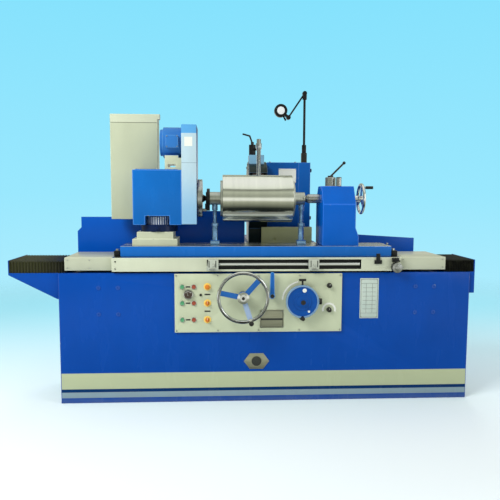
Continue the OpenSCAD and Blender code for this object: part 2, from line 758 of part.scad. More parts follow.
// Hydraulic cylinder in the bed's trough and its rod, which pulls the table by a lug
ram_r = 18;
ram_rod_r = 8;
ram_left = 500;
ram_right = 100;
ram_z = bed_h - trough_d + ram_r;
lug_t = 20;
lug_w = 30;
lug_x = 340;
module table_cylinder() color([0.5, 0.52, 0.54]) difference() {
  rod_x(-ram_left, ram_right, back(ram_back), ram_z, ram_r);
  rod_x(-ram_left + ram_r, ram_right + cut, back(ram_back), ram_z, ram_rod_r + run_clear);
}
module piston_rod() color([0.8, 0.81, 0.82])
  rod_x(-ram_right, lug_x, back(ram_back), ram_z, ram_rod_r);

// Lower table: a casting that rides the ways, with the grooved front bar
way_gap = 0.5; // air over a way, which leaves slide_gap on a slope
groove_z = table_z + (table_t - groove_h) / 2;
taper_x = 655;
taper_drop = 49;
taper_shaft_r = 8;
taper_in = 40;
module lower_table() color([0.83, 0.86, 0.74]) difference() {
  union() {
    block(-table_left, table_right, bar_y, back(table_depth), table_z, table_top);
    rod_z(table_top - cut, table_top + pivot_h, -pivot_at, axis_y, pivot_r);
    block(lug_x, lug_x + lug_t, back(ram_back) - lug_w / 2, back(ram_back) + lug_w / 2,
      ram_z - ram_rod_r, table_z + cut);
  }
  along_x(-table_left - cut, table_right + cut, concat(
    vee_at(way_gap), [[back(vee_back) + vee_w / 2, table_z - cut - table_lift],
    [back(vee_back) - vee_w / 2, table_z - cut - table_lift]]));
  block(-table_left - cut, table_right + cut, back(flat_back) - flat_w / 2 - loose,
    back(flat_back) + flat_w / 2 + loose, table_z - cut, bed_h + flat_h + way_gap);
  block(-groove_left, groove_right, bar_y - cut, back(-table_proud + groove_d),
    groove_z, groove_z + groove_h);
  rod_y(bar_y - cut, back(-table_proud + taper_in), taper_x,
    table_top - taper_drop, taper_shaft_r + run_clear);
}

// Sheet covers on the table's ends, over the ways
rib_side = 15; // room beside a way under a cover
cover_lift = 13; // air under a cover
module cover(x0, x1) difference() {
  block(x0, x1, back(cover_back), back(cover_back + cover_d),
    bed_h + cover_lift, bed_h + cover_lift + cover_h);
  for (way = [[vee_back, vee_w], [flat_back, flat_w]])
    block(x0 - cut, x1 + cut, back(way[0]) - way[1] / 2 - rib_side,
      back(way[0] + way[1] / 2) + min(rib_side,
        cover_back + cover_d - cover_wall - way[0] - way[1] / 2),
      bed_h, bed_h + cover_lift + cover_h - cover_wall);
}
module table_covers() color([0.78, 0.82, 0.68]) {
  cover(-table_left - cover_left_l, -table_left);
  cover(table_right, table_right + cover_right_l);
}

// Dog rail, end clamps, taper pointer and knob bracket on the lower table
clamp_w = 28;
clamp_d = 70;
clamp_h = 27;
clamp_gap = 5; // room for the upper table's corners
clamp_bolt_r = 9;
clamp_bolt_h = 9;
pointer_x = 566;
pointer_stem_w = 20;
pointer_foot_w = 38;
pointer_foot_h = 19;
pointer_foot_drop = 33;
pointer_rise = 20;
pointer_t = 8;
knob_block_w = 34;
knob_block_h = 20;
knob_block_drop = 22;
bar_screw_r = 4;
bar_screw_t = 2;
bar_screw_in = 18;
bar_screw_rise_shares = [0.2, 0.72];
rail_end = 6; // groove left at each end of the rail
rail_z = groove_z + (groove_h - rail_h) / 2;
rail_y = back(-table_proud + groove_d) - rail_t;
module table_fittings() color([0.12, 0.12, 0.12]) {
  block(-groove_left + rail_end, groove_right - rail_end, rail_y, rail_y + rail_t,
    rail_z, rail_z + rail_h);
  for (x = [-upper_left - clamp_gap - clamp_w, upper_right + clamp_gap]) union() {
    block(x, x + clamp_w, back(upper_back), back(upper_back + clamp_d),
      table_top, table_top + clamp_h);
    rod_z(table_top + clamp_h - cut, table_top + clamp_h + clamp_bolt_h, x + clamp_w / 2,
      back(upper_back + clamp_d / 2), clamp_bolt_r);
  }
  block(pointer_x - pointer_foot_w / 2, pointer_x + pointer_foot_w / 2,
    bar_y - pointer_t, bar_y,
    table_top - pointer_foot_drop, table_top - pointer_foot_drop + pointer_foot_h);
  block(pointer_x - pointer_stem_w / 2, pointer_x + pointer_stem_w / 2,
    bar_y - pointer_t, bar_y,
    table_top - pointer_foot_drop, table_top + pointer_rise);
  block(taper_x - knob_block_w / 2, taper_x + knob_block_w / 2,
    bar_y - 2 * pointer_t, bar_y,
    table_top - knob_block_drop, table_top - knob_block_drop + knob_block_h);
  for (x = [-table_left + bar_screw_in, table_right - bar_screw_in / 2],
      share = bar_screw_rise_shares)
    rod_y(bar_y - bar_screw_t, bar_y, x,
      table_z + table_t * share, bar_screw_r);
}

// Trip dogs that clamp round the rail
dog_tongue = 12; // dog's depth inside the groove behind the bar's face
dog_side = 2;
dog_bolt_r = 6;
dog_bolt_t = 5;
hook_w = 10;
hook_t = 8;
hook_drop_share = 0.35;
dog_z = groove_z + groove_h / 2 - dog_h / 2;
module dog(x) {
  y0 = bar_y - slide_gap;
  difference() {
    union() {
      block(x - dog_w / 2, x + dog_w / 2, y0 - dog_t, y0, dog_z, dog_z + dog_h);
      block(x - dog_w / 2, x + dog_w / 2, y0 - cut, y0 + dog_tongue,
        groove_z + dog_side, groove_z + groove_h - dog_side);
      rod_y(y0 - dog_t - dog_bolt_t, y0 - dog_t + cut, x, groove_z + groove_h / 2,
        dog_bolt_r);
    }
    block(x - dog_w, x + dog_w, rail_y - slide_gap, rail_y + rail_t,
      rail_z - slide_gap, rail_z + rail_h + slide_gap);
  }
}
module dog_left() color([0.7, 0.72, 0.7]) union() {
  dog(-dog_left_at);
  along_y(bar_y - slide_gap - hook_t, bar_y - slide_gap, [
    [-dog_left_at - dog_w / 2, dog_z + dog_h], [-dog_left_at - dog_w / 2, dog_z],
    [-dog_left_at - dog_w / 2 - hook_w, dog_z],
    [-dog_left_at - dog_w / 2 - hook_w, dog_z + dog_h * hook_drop_share],
    [-dog_left_at - dog_w / 2 - hook_w / 2, dog_z + dog_h * hook_drop_share]]);
}
module dog_right() color([0.7, 0.72, 0.7]) dog(dog_right_at);

// Knob of the taper screw at the table's right end
taper_knob_r = 26;
taper_knob_l = 30;
taper_face_r = 12;
taper_face_t = 3;
module taper_knob() color([0.75, 0.76, 0.76]) union() {
  y0 = bar_y - slide_gap - 2 * pointer_t;
  rod_y(y0 - taper_knob_l, y0, taper_x, table_top - taper_drop, taper_knob_r);
  rod_y(y0 - taper_knob_l - taper_face_t, y0, taper_x, table_top - taper_drop, taper_face_r);
  rod_y(y0 - cut, back(-table_proud + taper_in) - loose, taper_x, table_top - taper_drop,
    taper_shaft_r);
}

// Upper table: swivels on the pin and carries the work head and the tailstock
tee_slot_w = 14;
tee_slot_foot = 24;
tee_slot_h = 12;
module upper_table() color([0.07, 0.4, 0.76]) difference() {
  block(-upper_left, upper_right, back(upper_back), back(upper_back + upper_d),
    upper_z, upper_top);
  rod_z(upper_z - cut, upper_z + pivot_h + loose, -pivot_at, axis_y, pivot_r + run_clear);
  block(-upper_left - cut, upper_right + cut, axis_y - tee_slot_w / 2, axis_y + tee_slot_w / 2,
    upper_top - tee_slot_h, upper_top + cut);
  block(-upper_left - cut, upper_right + cut, axis_y - tee_slot_foot / 2,
    axis_y + tee_slot_foot / 2, upper_top - 2 * tee_slot_h, upper_top - tee_slot_h);
}

// Work head base: two plinth steps, the swivel flange, its bolt and the graduated ring
plinth_shift = -14;
plinth_step = 22;
plinth_d = 200;
flange_bolt_r = 11;
flange_bolt_t = 8;
module head_base() color([0.8, 0.82, 0.72]) {
  x = -head_at + plinth_shift;
  block(x - plinth_w / 2, x + plinth_w / 2, axis_y - plinth_d / 2, axis_y + plinth_d / 2,
    upper_top, upper_top + plinth_h);
  block(x - plinth_w / 2 + plinth_step, x + plinth_w / 2 - plinth_step,
    axis_y - plinth_d / 2 + plinth_step / 2, axis_y + plinth_d / 2 - plinth_step / 2,
    upper_top + plinth_h - cut, flange_z);
  rod_z(flange_z, head_z, -head_at, axis_y, flange_r);
  rod_z(head_z, head_z + scale_h, -head_at, axis_y, scale_r);
  translate([-head_at, axis_y - flange_r + cut, flange_z + flange_h / 2]) rotate([90, 0, 0])
    cylinder(h = flange_bolt_t + cut, r = flange_bolt_r, $fn = 6);
}

// Work head body, with the pocket that shows the graduated ring
pocket_air = 4;
arch_share = 0.5;
module head_body() color([0.12, 0.44, 0.78]) difference() {
  block(-head_at - head_w / 2, head_right, head_y0, head_y1,
    head_z, head_top);
  rod_z(head_z - cut, head_z + scale_h + pocket_air, -head_at, axis_y, scale_r + pocket_air);
  block(-head_at - head_w * arch_share / 2, -head_at + head_w * arch_share / 2,
    head_y0 - cut, axis_y, head_z - cut, head_z + scale_h + pocket_air);
  work_rod(head_right - spindle_in, head_right + cut, spindle_r + run_clear);
}
spindle_in = 180; // spindle's length inside the work head body

// Drive cabinet behind the work head, with its lid band and latch
cabinet_shift = 15; // cabinet's right side, left of the head's middle
cabinet_lift = 21; // cabinet's foot above the head's
cabinet_right = -head_at - cabinet_shift;
cabinet_z = head_z + cabinet_lift;
latch_w = 14;
latch_h = 30;
latch_d = 20;
module drive_cabinet() color([0.8, 0.82, 0.71]) {
  y0 = head_y1;
  difference() {
    block(cabinet_right - cabinet_w, cabinet_right, y0, y0 + cabinet_d, cabinet_z,
      cabinet_z + cabinet_h);
    block(cabinet_right - cabinet_w + sheet_t, cabinet_right - sheet_t, y0 + sheet_t,
      y0 + cabinet_d - sheet_t, cabinet_z + sheet_t, cabinet_z + cabinet_h - sheet_t);
  }
  block(cabinet_right, cabinet_right + latch_w, y0, y0 + latch_d,
    cabinet_z + cabinet_h - latch_h, cabinet_z + cabinet_h);
}

// Belt cover on the work head's right side, hollow, with the three belts inside
cover_raise = 3; // belt cover's foot above the body's
cover_z = head_z + cover_raise;
belt_w = 34;
belt_t = 8;
cover_mid = (head_right + cover_right) / 2;
motor_z = axis_z + motor_rise;
sleeve_r = 40;
motor_shaft_r = 12;
module head_belt_cover() color([0.68, 0.8, 0.88]) {
  difference() {
    block(head_right, cover_right, head_y0, head_y1, cover_z,
      cover_z + belt_cover_h);
    block(head_right + sheet_t, cover_right - sheet_t, head_y0 + sheet_t,
      head_y1 - sheet_t, cover_z + sheet_t, cover_z + belt_cover_h - sheet_t);
    work_rod(head_right - cut, cover_mid, spindle_r + run_clear);
    rod_x(head_right - cut, cover_mid, axis_y, motor_z, motor_shaft_r + loose);
    work_rod(cover_mid, cover_right + cut, sleeve_r + loose);
  }
  for (shift = [-1, 0, 1]) translate([shift * belt_w / 3, 0, 0]) difference() {
    belt_loop(cover_mid - belt_w / 8, cover_mid + belt_w / 8, axis_y, axis_z,
      head_pulley_r + belt_t, axis_y, motor_z, motor_pulley_r + belt_t);
    belt_loop(cover_mid - belt_w, cover_mid + belt_w, axis_y, axis_z,
      head_pulley_r + slide_gap, axis_y, motor_z, motor_pulley_r + slide_gap);
  }
}

// Work motor with its terminal box, on a bracket with a slot
terminal_w = 62;
terminal_h = 62;
terminal_d = 24;
bell_l = 16;
bell_share = 0.86;
motor_foot_w = 70;
bracket_d = 160;
bracket_slot_h = 14;
bracket_slot_share = 0.55;
module head_motor() color([0.2, 0.47, 0.76]) {
  right = head_right - slide_gap;
  difference() {
    union() {
      rod_x(right - motor_l + bell_l, right, axis_y, motor_z, motor_r);
      rod_x(right - motor_l, right - motor_l + bell_l + cut, axis_y, motor_z,
        motor_r * bell_share);
      block(right - terminal_w - bell_l, right - bell_l, axis_y - motor_r - terminal_d,
        axis_y - motor_r / 2, motor_z - terminal_h / 2, motor_z + terminal_h / 2);
      block(right - motor_foot_w - bell_l, right - bell_l, axis_y - motor_r,
        axis_y + motor_r, motor_z - motor_r - loose, motor_z - motor_r * bell_share);
    }
    rod_x(right - motor_l / 2, right + cut, axis_y, motor_z, motor_shaft_r + run_clear);
  }
  difference() {
    block(right - motor_foot_w - bell_l, right, axis_y - bracket_d / 2,
      axis_y + bracket_d / 2, head_top, motor_z - motor_r - loose);
    block(right - motor_foot_w, right - motor_foot_w * (1 - bracket_slot_share),
      axis_y - bracket_d, axis_y + bracket_d, head_top + bracket_slot_h,
      head_top + 2 * bracket_slot_h);
  }
}
module motor_pulley() color([0.5, 0.52, 0.54]) union() {
  rod_x(head_right - motor_l / 2 + loose, cover_mid + belt_w / 2, axis_y, motor_z,
    motor_shaft_r);
  rod_x(cover_mid - belt_w / 2, cover_mid + belt_w / 2, axis_y, motor_z, motor_pulley_r);
}

// Face plate with its driving sleeve, pulley and driver pin
driver_r = 8;
driver_l = 22;
driver_at_share = 0.62;
module face_plate() color([0.5, 0.52, 0.5]) difference() {
  union() {
    work_rod(cover_right + face_gap, face_right, face_r);
    work_rod(cover_mid - belt_w / 2, face_right - cut, sleeve_r);
    work_rod(cover_mid - belt_w / 2, cover_mid + belt_w / 2, head_pulley_r);
    rod_x(face_right - cut, face_right + driver_l, axis_y, axis_z - face_r * driver_at_share,
      driver_r);
  }
  work_rod(head_right - cut, face_right + cut, spindle_r + run_clear);
}

// Fixed spindle and dead centre of the work head
module cone_point(x, base_x, r) {
  // A sixty degree point whose base of radius r is at base_x and which points along +X or -X
  translate([base_x, axis_y, axis_z]) rotate([0, x > base_x ? 90 : -90, 0])
    cylinder(h = 2 * r * cone_share, r1 = r, r2 = 0);
}
hole_depth = 2 * hole_r * cone_share;
module head_centre() color([0.75, 0.76, 0.77]) {
  base = roll_left + hole_depth - seat_gap - 2 * spindle_r * cone_share;
  work_rod(head_right - spindle_in, base, spindle_r);
  cone_point(roll_left + hole_depth, base, spindle_r);
}

// The roll between centres, with its drive dog clamped on the left journal
oil_hole_r = 3.5;
oil_hole_d = 12;
oil_hole_in = 11;
dog_ring_r = 52;
dog_ring_l = 16;
dog_ring_in = 5;
ring_x0 = roll_left + dog_ring_in;
ring_x1 = ring_x0 + dog_ring_l;
tail_block_w = 26;
tail_block_h = 38;
tail_block_drop = 28;
dog_screw_r = 6;
dog_screw_l = 16;
module roll() color([0.72, 0.73, 0.7]) {
  difference() {
    union() {
      work_rod(roll_left, roll_right, journal_r);
      work_rod(body_left - collar_l, body_right + collar_l, collar_r);
      work_rod(body_left, body_right, roll_r);
    }
    cone_point(roll_right, roll_left, hole_r);
    cone_point(roll_left, roll_right, hole_r);
    rod_y(axis_y - journal_r - cut, axis_y - journal_r + oil_hole_d,
      roll_right - oil_hole_in, axis_z, oil_hole_r);
  }
  difference() {
    union() {
      work_rod(ring_x0, ring_x1, dog_ring_r);
      block(ring_x1 - tail_block_w,
        ring_x1, axis_y + driver_r + loose,
        axis_y + driver_r + loose + tail_block_w,
        axis_z - tail_block_drop - tail_block_h, axis_z - tail_block_drop);
      rod_z(axis_z, axis_z + dog_ring_r + dog_screw_l,
        ring_x1 / 2, axis_y, dog_screw_r);
    }
    work_rod(roll_left - tail_block_w, ring_x1 + cut, journal_r);
  }
}

// Two steadies that stand under the journals: foot, sleeve, nut, screw and cradle
steady_shares = [0.62, 0.72]; // along the left journal and along the right one
steady_left_x = roll_left + journal_left_l * steady_shares[0];
steady_right_x = roll_right - journal_right_l * (1 - steady_shares[1]);
steady_foot_w = 48;
steady_foot_h = 20;
steady_sleeve_r = 15;
steady_sleeve_h = 78;
steady_nut_r = 19;
steady_nut_h = 16;
steady_screw_r = 10;
cradle_r = 15;
cradle_h = 30;
module steady(x) difference() {
  union() {
    block(x - steady_foot_w / 2, x + steady_foot_w / 2, axis_y - steady_foot_w / 2,
      axis_y + steady_foot_w / 2, upper_top, upper_top + steady_foot_h);
    rod_z(upper_top + steady_foot_h - cut, upper_top + steady_foot_h + steady_sleeve_h, x,
      axis_y, steady_sleeve_r);
    translate([x, axis_y, upper_top + steady_foot_h + steady_sleeve_h - cut])
      cylinder(h = steady_nut_h + cut, r = steady_nut_r, $fn = 6);
    rod_z(upper_top, axis_z - journal_r, x, axis_y, steady_screw_r);
    rod_z(axis_z - journal_r - cradle_h, axis_z - journal_r + steady_screw_r, x, axis_y,
      cradle_r);
  }
  work_rod(x - steady_foot_w, x + steady_foot_w, journal_r + slide_gap);
}
module steadies() color([0.55, 0.68, 0.8]) {
  steady(steady_left_x);
  steady(steady_right_x);
}

// Tailstock body with its foot, clamp boss and lock knob
tail_slope_d = 60;
tail_slope_h = 28; // slope's start under the work axis
tail_crown_d = 95;
tail_rear_drop = 12;
tail_z = upper_top + slide_gap;
foot_out = 17;
foot_rise = 50;
foot_top = 95;
boss_r = 28;
boss_h = 48;
boss_at = 59;
lock_r = 14;
lock_at = 96;
lock_back = 40;
bore_end = 12; // wall left at the bore's right end
quill_shaft_r = 12;
module tailstock_body() color([0.05, 0.38, 0.78]) {
  difference() {
    union() {
      along_x(tail_left, tail_right, [
        [back(upper_back), tail_z], [back(upper_back), axis_z - tail_slope_h],
        [back(upper_back) + tail_slope_d, axis_z + tail_crown],
        [back(upper_back) + tail_slope_d + tail_crown_d, axis_z + tail_crown],
        [back(upper_back) + tail_d, axis_z - tail_rear_drop],
        [back(upper_back) + tail_d, tail_z]]);
      along_y(back(upper_back), back(upper_back) + tail_d, [
        [tail_right - cut, tail_z], [tail_right + foot_out, tail_z],
        [tail_right + foot_out, tail_z + foot_rise], [tail_right, tail_z + foot_top],
        [tail_right - cut, tail_z + foot_top]]);
    }
    work_rod(tail_left - cut, tail_right - bore_end, quill_r + run_clear);
    work_rod(tail_left, tail_right + cut, quill_shaft_r + run_clear);
  }
  difference() {
    rod_z(axis_z + tail_crown, axis_z + tail_crown + boss_h, tail_left + boss_at, axis_y,
      boss_r);
    rod_z(axis_z + tail_crown - cut, axis_z + tail_crown + boss_h + cut,
      tail_left + boss_at, axis_y, clamp_stem_r + run_clear);
  }
  rod_z(axis_z + tail_crown, axis_z + tail_crown + boss_h, tail_left + lock_at,
    axis_y - lock_back, lock_r);
}

// Quill clamp lever: a hub on the boss and a raised handle
clamp_stem_r = 9;
clamp_hub_r = 15;
clamp_hub_h = 8;
clamp_bar_r = 5;
clamp_bar_l = 106;
clamp_stem_l = 36;
module clamp_lever() color([0.08, 0.12, 0.14]) {
  z0 = axis_z + tail_crown + boss_h + slide_gap;
  rod_z(z0, z0 + clamp_hub_h, tail_left + boss_at, axis_y, clamp_hub_r);
  rod_z(z0 - clamp_stem_l, z0 + cut, tail_left + boss_at, axis_y, clamp_stem_r);
  translate([tail_left + boss_at, axis_y, z0 + clamp_hub_h / 2]) rotate([0, 45, 0])
    cylinder(h = clamp_bar_l, r = clamp_bar_r);
}

// Quill with its centre, and the handwheel that draws it back
quill_in = 120; // quill's length inside the body at rest
quill_hole_d = 90;
module quill() color([0.76, 0.77, 0.78]) {
  base = roll_right - hole_depth + seat_gap + 2 * quill_r * cone_share;
  difference() {
    union() {
      work_rod(base, tail_left + quill_in, quill_r);
      cone_point(roll_right - hole_depth, base, quill_r);
    }
    work_rod(tail_left + quill_in - quill_hole_d, tail_left + quill_in + cut, quill_shaft_r + slide_gap);
  }
}
tail_hub_r = 17;
tail_hub_l = 26;
tail_wheel_out = 52;
tail_spoke_w = 16;
tail_spoke_t = 7;
tail_spoke_turn = 38;
tail_grip_r = 8;
tail_grip_l = 44;
tail_grip_stub = 6;
tail_shaft_in = 110;
module tail_wheel() color([0.14, 0.4, 0.6]) {
  x0 = tail_right + tail_wheel_out;
  translate([x0, axis_y, axis_z]) rotate([0, 90, 0]) rim(tail_rim_r, tail_rim_t);
  for (turn = [0, 120, 240])
    translate([x0, axis_y, axis_z]) rotate([90 + tail_spoke_turn + turn, 0, 0])
      block(-tail_spoke_t / 2, tail_spoke_t / 2, -tail_spoke_w / 2, tail_spoke_w / 2,
        0, tail_rim_r);
  work_rod(x0 - tail_hub_l / 2, x0 + tail_hub_l / 2, tail_hub_r);
  work_rod(tail_right + slide_gap, x0, tail_hub_r);
  work_rod(tail_right - tail_shaft_in, x0, quill_shaft_r);
  translate([0, axis_y, axis_z]) rotate([tail_spoke_turn, 0, 0]) union() {
    rod_x(x0 + tail_rim_t - cut, x0 + tail_rim_t + tail_grip_stub, 0, tail_rim_r,
      tail_grip_r / 2);
    rod_x(x0 + tail_rim_t + tail_grip_stub - cut, x0 + tail_rim_t + tail_grip_l, 0,
      tail_rim_r, tail_grip_r);
  }
}

// Wheel slide on the cross ways, with the feed nut hanging through the bed's slot
slide_y = back(slide_back);
feed_back = 60; // how far the slide draws back from rest
module wheel_slide() color([0.1, 0.34, 0.62]) difference() {
  union() {
    block(slide_x - slide_w / 2, slide_x + slide_w / 2, slide_y, slide_y + slide_l,
      slide_z, slide_top);
    block(dial_x - nut_w / 2, dial_x + nut_w / 2, nut_y - nut_l / 2, nut_y + nut_l / 2,
      dial_z - 2 * screw_r, slide_z + cut);
  }
  for (side = [-1, 1]) translate([slide_x + side * cross_pitch / 2, 0, 0])
    block(-cross_w / 2 - slide_gap, cross_w / 2 + slide_gap, slide_y - cut,
      slide_y + slide_l + cut, slide_z - cut, bed_h + cross_h + slide_gap);
  rod_y(nut_y - nut_l, nut_y + nut_l, dial_x, dial_z, screw_r + run_clear);
}

// Swivel base under the wheelhead, and the way cover on its front
base_left = 30;
base_l = 660;
front_cover_left = -5;
front_cover_d = 20;
front_cover_back = 395;
cover_hole_r = 8;
cover_hole_at = [76, 24];
base_y = slide_y;
module swivel_base() color([0.5, 0.52, 0.38]) {
  block(base_left, case_right, base_y, base_y + base_l, slide_top, base_top);
  difference() {
    union() {
      block(front_cover_left, case_right, back(front_cover_back),
        back(front_cover_back + front_cover_d), slide_top + slide_gap, base_top);
      block(base_left, case_right, back(front_cover_back + front_cover_d) - cut, base_y,
        slide_top + slide_gap, base_top);
    }
    rod_y(back(front_cover_back) - cut, back(front_cover_back) + front_cover_d / 2,
      front_cover_left + cover_hole_at[0], slide_top + cover_hole_at[1], cover_hole_r);
  }
}

// Spindle housing of the wheelhead
housing_left = base_left;
housing_y = back(housing_back);
case_left = case_right - case_w;
module spindle_housing() color([0.07, 0.34, 0.63]) difference() {
  block(housing_left, case_left, housing_y, housing_y + housing_d, base_top, case_top);
  wheel_rod(housing_left - cut, case_left + cut, grind_shaft_r + run_clear);
}

// Belt case on the right of the housing, hollow, with the belts and the lamp's socket
case_l = 600;
case_wall = 4;
drive_y = wheel_y + drive_back;
drive_foot_h = 24;
drive_z = base_top + drive_motor_r + drive_foot_h;
grind_pulley_r = 55;
drive_pulley_r = 68;
drive_shaft_r = 18;
case_mid = (case_left + case_right) / 2;
lamp_in = 31; // lamp's socket from the case's right side
lamp_behind = 60; // and from its front
lamp_x = case_right - lamp_in;
lamp_y = housing_y + lamp_behind;
socket_w = 32;
socket_h = 60;
lamp_pin_r = 6;
lamp_pin_l = 30;
module belt_case() color([0.07, 0.34, 0.63]) {
  difference() {
    block(case_left, case_right, housing_y, housing_y + case_l, base_top, case_top);
    block(case_left + case_wall, case_right - case_wall, housing_y + case_wall,
      housing_y + case_l - case_wall, base_top + case_wall, case_top - case_wall);
    wheel_rod(case_left - cut, case_mid, grind_shaft_r + loose);
    rod_x(case_left - cut, case_mid, drive_y, drive_z, drive_shaft_r + loose);
  }
  for (shift = [-1, 0, 1]) translate([shift * belt_w / 3, 0, 0]) difference() {
    belt_loop(case_mid - belt_w / 8, case_mid + belt_w / 8, wheel_y, axis_z,
      grind_pulley_r + belt_t, drive_y, drive_z, drive_pulley_r + belt_t);
    belt_loop(case_mid - belt_w, case_mid + belt_w, wheel_y, axis_z,
      grind_pulley_r + slide_gap, drive_y, drive_z, drive_pulley_r + slide_gap);
  }
  difference() {
    block(lamp_x - socket_w / 2, lamp_x + socket_w / 2, lamp_y - socket_w / 2,
      lamp_y + socket_w / 2, case_top, case_top + socket_h);
    rod_z(case_top + socket_h - lamp_pin_l - loose, case_top + socket_h + cut, lamp_x,
      lamp_y, lamp_pin_r + run_clear);
  }
}

// Wheel motor behind the housing, with its foot and pulley
drive_motor_left = -60;
drive_foot_share = 0.7;
module wheel_motor() color([0.12, 0.4, 0.68]) difference() {
  union() {
    rod_x(drive_motor_left, case_left, drive_y, drive_z, drive_motor_r);
    block(base_left, case_left, drive_y - drive_motor_r * drive_foot_share,
      drive_y + drive_motor_r * drive_foot_share, base_top, drive_z);
  }
  rod_x(base_left, case_left + cut, drive_y, drive_z, drive_shaft_r + run_clear);
}
module wheel_motor_pulley() color([0.5, 0.52, 0.54]) union() {
  rod_x(base_left + loose, case_mid + belt_w / 2, drive_y, drive_z, drive_shaft_r);
  rod_x(case_mid - belt_w / 2, case_mid + belt_w / 2, drive_y, drive_z, drive_pulley_r);
}

// Grinding wheel, and its spindle with flanges and pulley
wheel_left = -wheel_at - wheel_w / 2;
wheel_right = -wheel_at + wheel_w / 2;
wheel_bore_r = 60;
grind_flange_r = 85;
grind_flange_t = 10;
spindle_nose_r = 22;
spindle_nose_l = 4;
module grinding_wheel() color([0.78, 0.77, 0.72]) difference() {
  wheel_rod(wheel_left, wheel_right, wheel_r);
  wheel_rod(wheel_left - cut, wheel_right + cut, wheel_bore_r);
}
module wheel_spindle() color([0.6, 0.61, 0.62]) union() {
  wheel_rod(wheel_left - grind_flange_t, wheel_left, grind_flange_r);
  wheel_rod(wheel_right, wheel_right + grind_flange_t, grind_flange_r);
  wheel_rod(wheel_left, wheel_right, wheel_bore_r);
  wheel_rod(wheel_left - grind_flange_t - spindle_nose_l, wheel_left, spindle_nose_r);
  wheel_rod(wheel_right, case_mid + belt_w / 2, grind_shaft_r);
  wheel_rod(case_mid - belt_w / 2, case_mid + belt_w / 2, grind_pulley_r);
}

// Wheel guard round the wheel, open towards the roll, with its cap
guard_x0 = base_left - wheel_guard_w;
guard_x1 = base_left;
guard_in_r = wheel_r + guard_air;
guard_out_r = guard_in_r + wheel_guard_t;
mouth_up = 42; // angle of the mouth's upper edge above level
mouth_down = 32; // and of its lower edge below level
mouth_l = 2 * wheel_r;
guard_foot_l = 250;
cap_w = 88;
cap_h = 36;
cap_d = 110;
cap_back = 30;
guard_port_r = 36;
module wheel_guard() color([0.1, 0.11, 0.1]) {
  difference() {
    union() {
      wheel_rod(guard_x0, guard_x1, guard_out_r);
      block(guard_x0, guard_x1, wheel_y - guard_foot_l / 2, wheel_y + guard_foot_l / 2,
        slide_top, axis_z);
    }
    wheel_rod(guard_x0 + wheel_guard_t, guard_x1 - wheel_guard_t, guard_in_r);
    along_x(guard_x0 + wheel_guard_t, guard_x1 - wheel_guard_t, [[wheel_y, axis_z],
      [wheel_y - mouth_l * cos(mouth_up), axis_z + mouth_l * sin(mouth_up)],
      [wheel_y - mouth_l * cos(mouth_down), axis_z - mouth_l * sin(mouth_down)]]);
    along_x(guard_x0 - cut, guard_x1 + cut, [
      [wheel_y - guard_out_r * cos(mouth_up) * lip_share, axis_z + guard_out_r * sin(mouth_up)],
      [wheel_y - mouth_l, axis_z + guard_out_r * sin(mouth_up)],
      [wheel_y - mouth_l, axis_z - guard_out_r * sin(mouth_down)],
      [wheel_y - guard_out_r * cos(mouth_down) * lip_share,
        axis_z - guard_out_r * sin(mouth_down)]]);
    wheel_rod(guard_x1 - wheel_guard_t - cut, guard_x1 + cut, guard_port_r);
  }
  difference() {
    block(-wheel_at - cap_w / 2 - cap_shift, -wheel_at + cap_w / 2 - cap_shift,
      wheel_y - cap_d / 2 - cap_back, wheel_y + cap_d / 2 - cap_back,
      axis_z, axis_z + guard_out_r + cap_h);
    wheel_rod(guard_x0 - cut, guard_x1 + cut, guard_out_r);
  }
}
lip_share = 0.86; // where the guard's side plates end, towards the mouth
cap_shift = 6;

// Coolant pipe with its nozzle, valve body and elbow
pipe_x = -26;
pipe_behind = 182; // pipe behind the work axis
pipe_rise = 331; // pipe's top above the work axis
nozzle_rise = 98; // pipe's mouth above the work axis
pipe_y = axis_y + pipe_behind;
pipe_top = axis_z + pipe_rise;
nozzle_z = axis_z + nozzle_rise;
valve_x = -52;
valve_y = wheel_y - cap_back;
valve_r = 20;
valve_h = 62;
cap_top = axis_z + guard_out_r + cap_h;
elbow_rise = 36;
elbow_z = cap_top + elbow_rise;
elbow_r = 8;
band_r = 16;
band_h = 12;
module coolant_pipe() color([0.35, 0.58, 0.78]) union() {
  rod_z(nozzle_z, pipe_top, pipe_x, pipe_y, pipe_r);
  rod_z(cap_top, cap_top + valve_h, valve_x, valve_y, valve_r);
  rod_x(valve_x, pipe_x, valve_y, elbow_z, elbow_r);
  rod_y(pipe_y, valve_y + elbow_r, pipe_x, elbow_z, elbow_r);
  rod_z(pipe_top - band_h * 3, pipe_top - band_h * 2, pipe_x, pipe_y, band_r);
  rod_z(elbow_z - band_h, elbow_z + band_h, pipe_x, pipe_y, band_r);
}

// Valve lever: a stub on the valve and a bent handle
valve_hub_r = 9;
valve_hub_h = 16;
valve_bar_r = 5;
valve_bar_l = 44;
valve_rise = 30;
valve_lean = 20;
valve_bend = 55;
module valve_lever() color([0.15, 0.17, 0.17]) {
  z0 = cap_top + valve_h + slide_gap;
  rod_z(z0, z0 + valve_hub_h, valve_x, valve_y, valve_hub_r);
  translate([valve_x, valve_y, z0 + valve_hub_h / 2]) rotate([0, -valve_lean, 0])
    cylinder(h = valve_rise + valve_hub_h, r = valve_bar_r);
  translate([valve_x, valve_y, z0 + valve_hub_h / 2]) rotate([0, -valve_lean, 0])
    translate([0, 0, valve_rise + valve_hub_h]) sphere(r = valve_bar_r);
  translate([valve_x, valve_y, z0 + valve_hub_h / 2]) rotate([0, -valve_lean, 0])
    translate([0, 0, valve_rise + valve_hub_h]) rotate([0, -valve_bend, 0])
      cylinder(h = valve_bar_l, r = valve_bar_r);
}

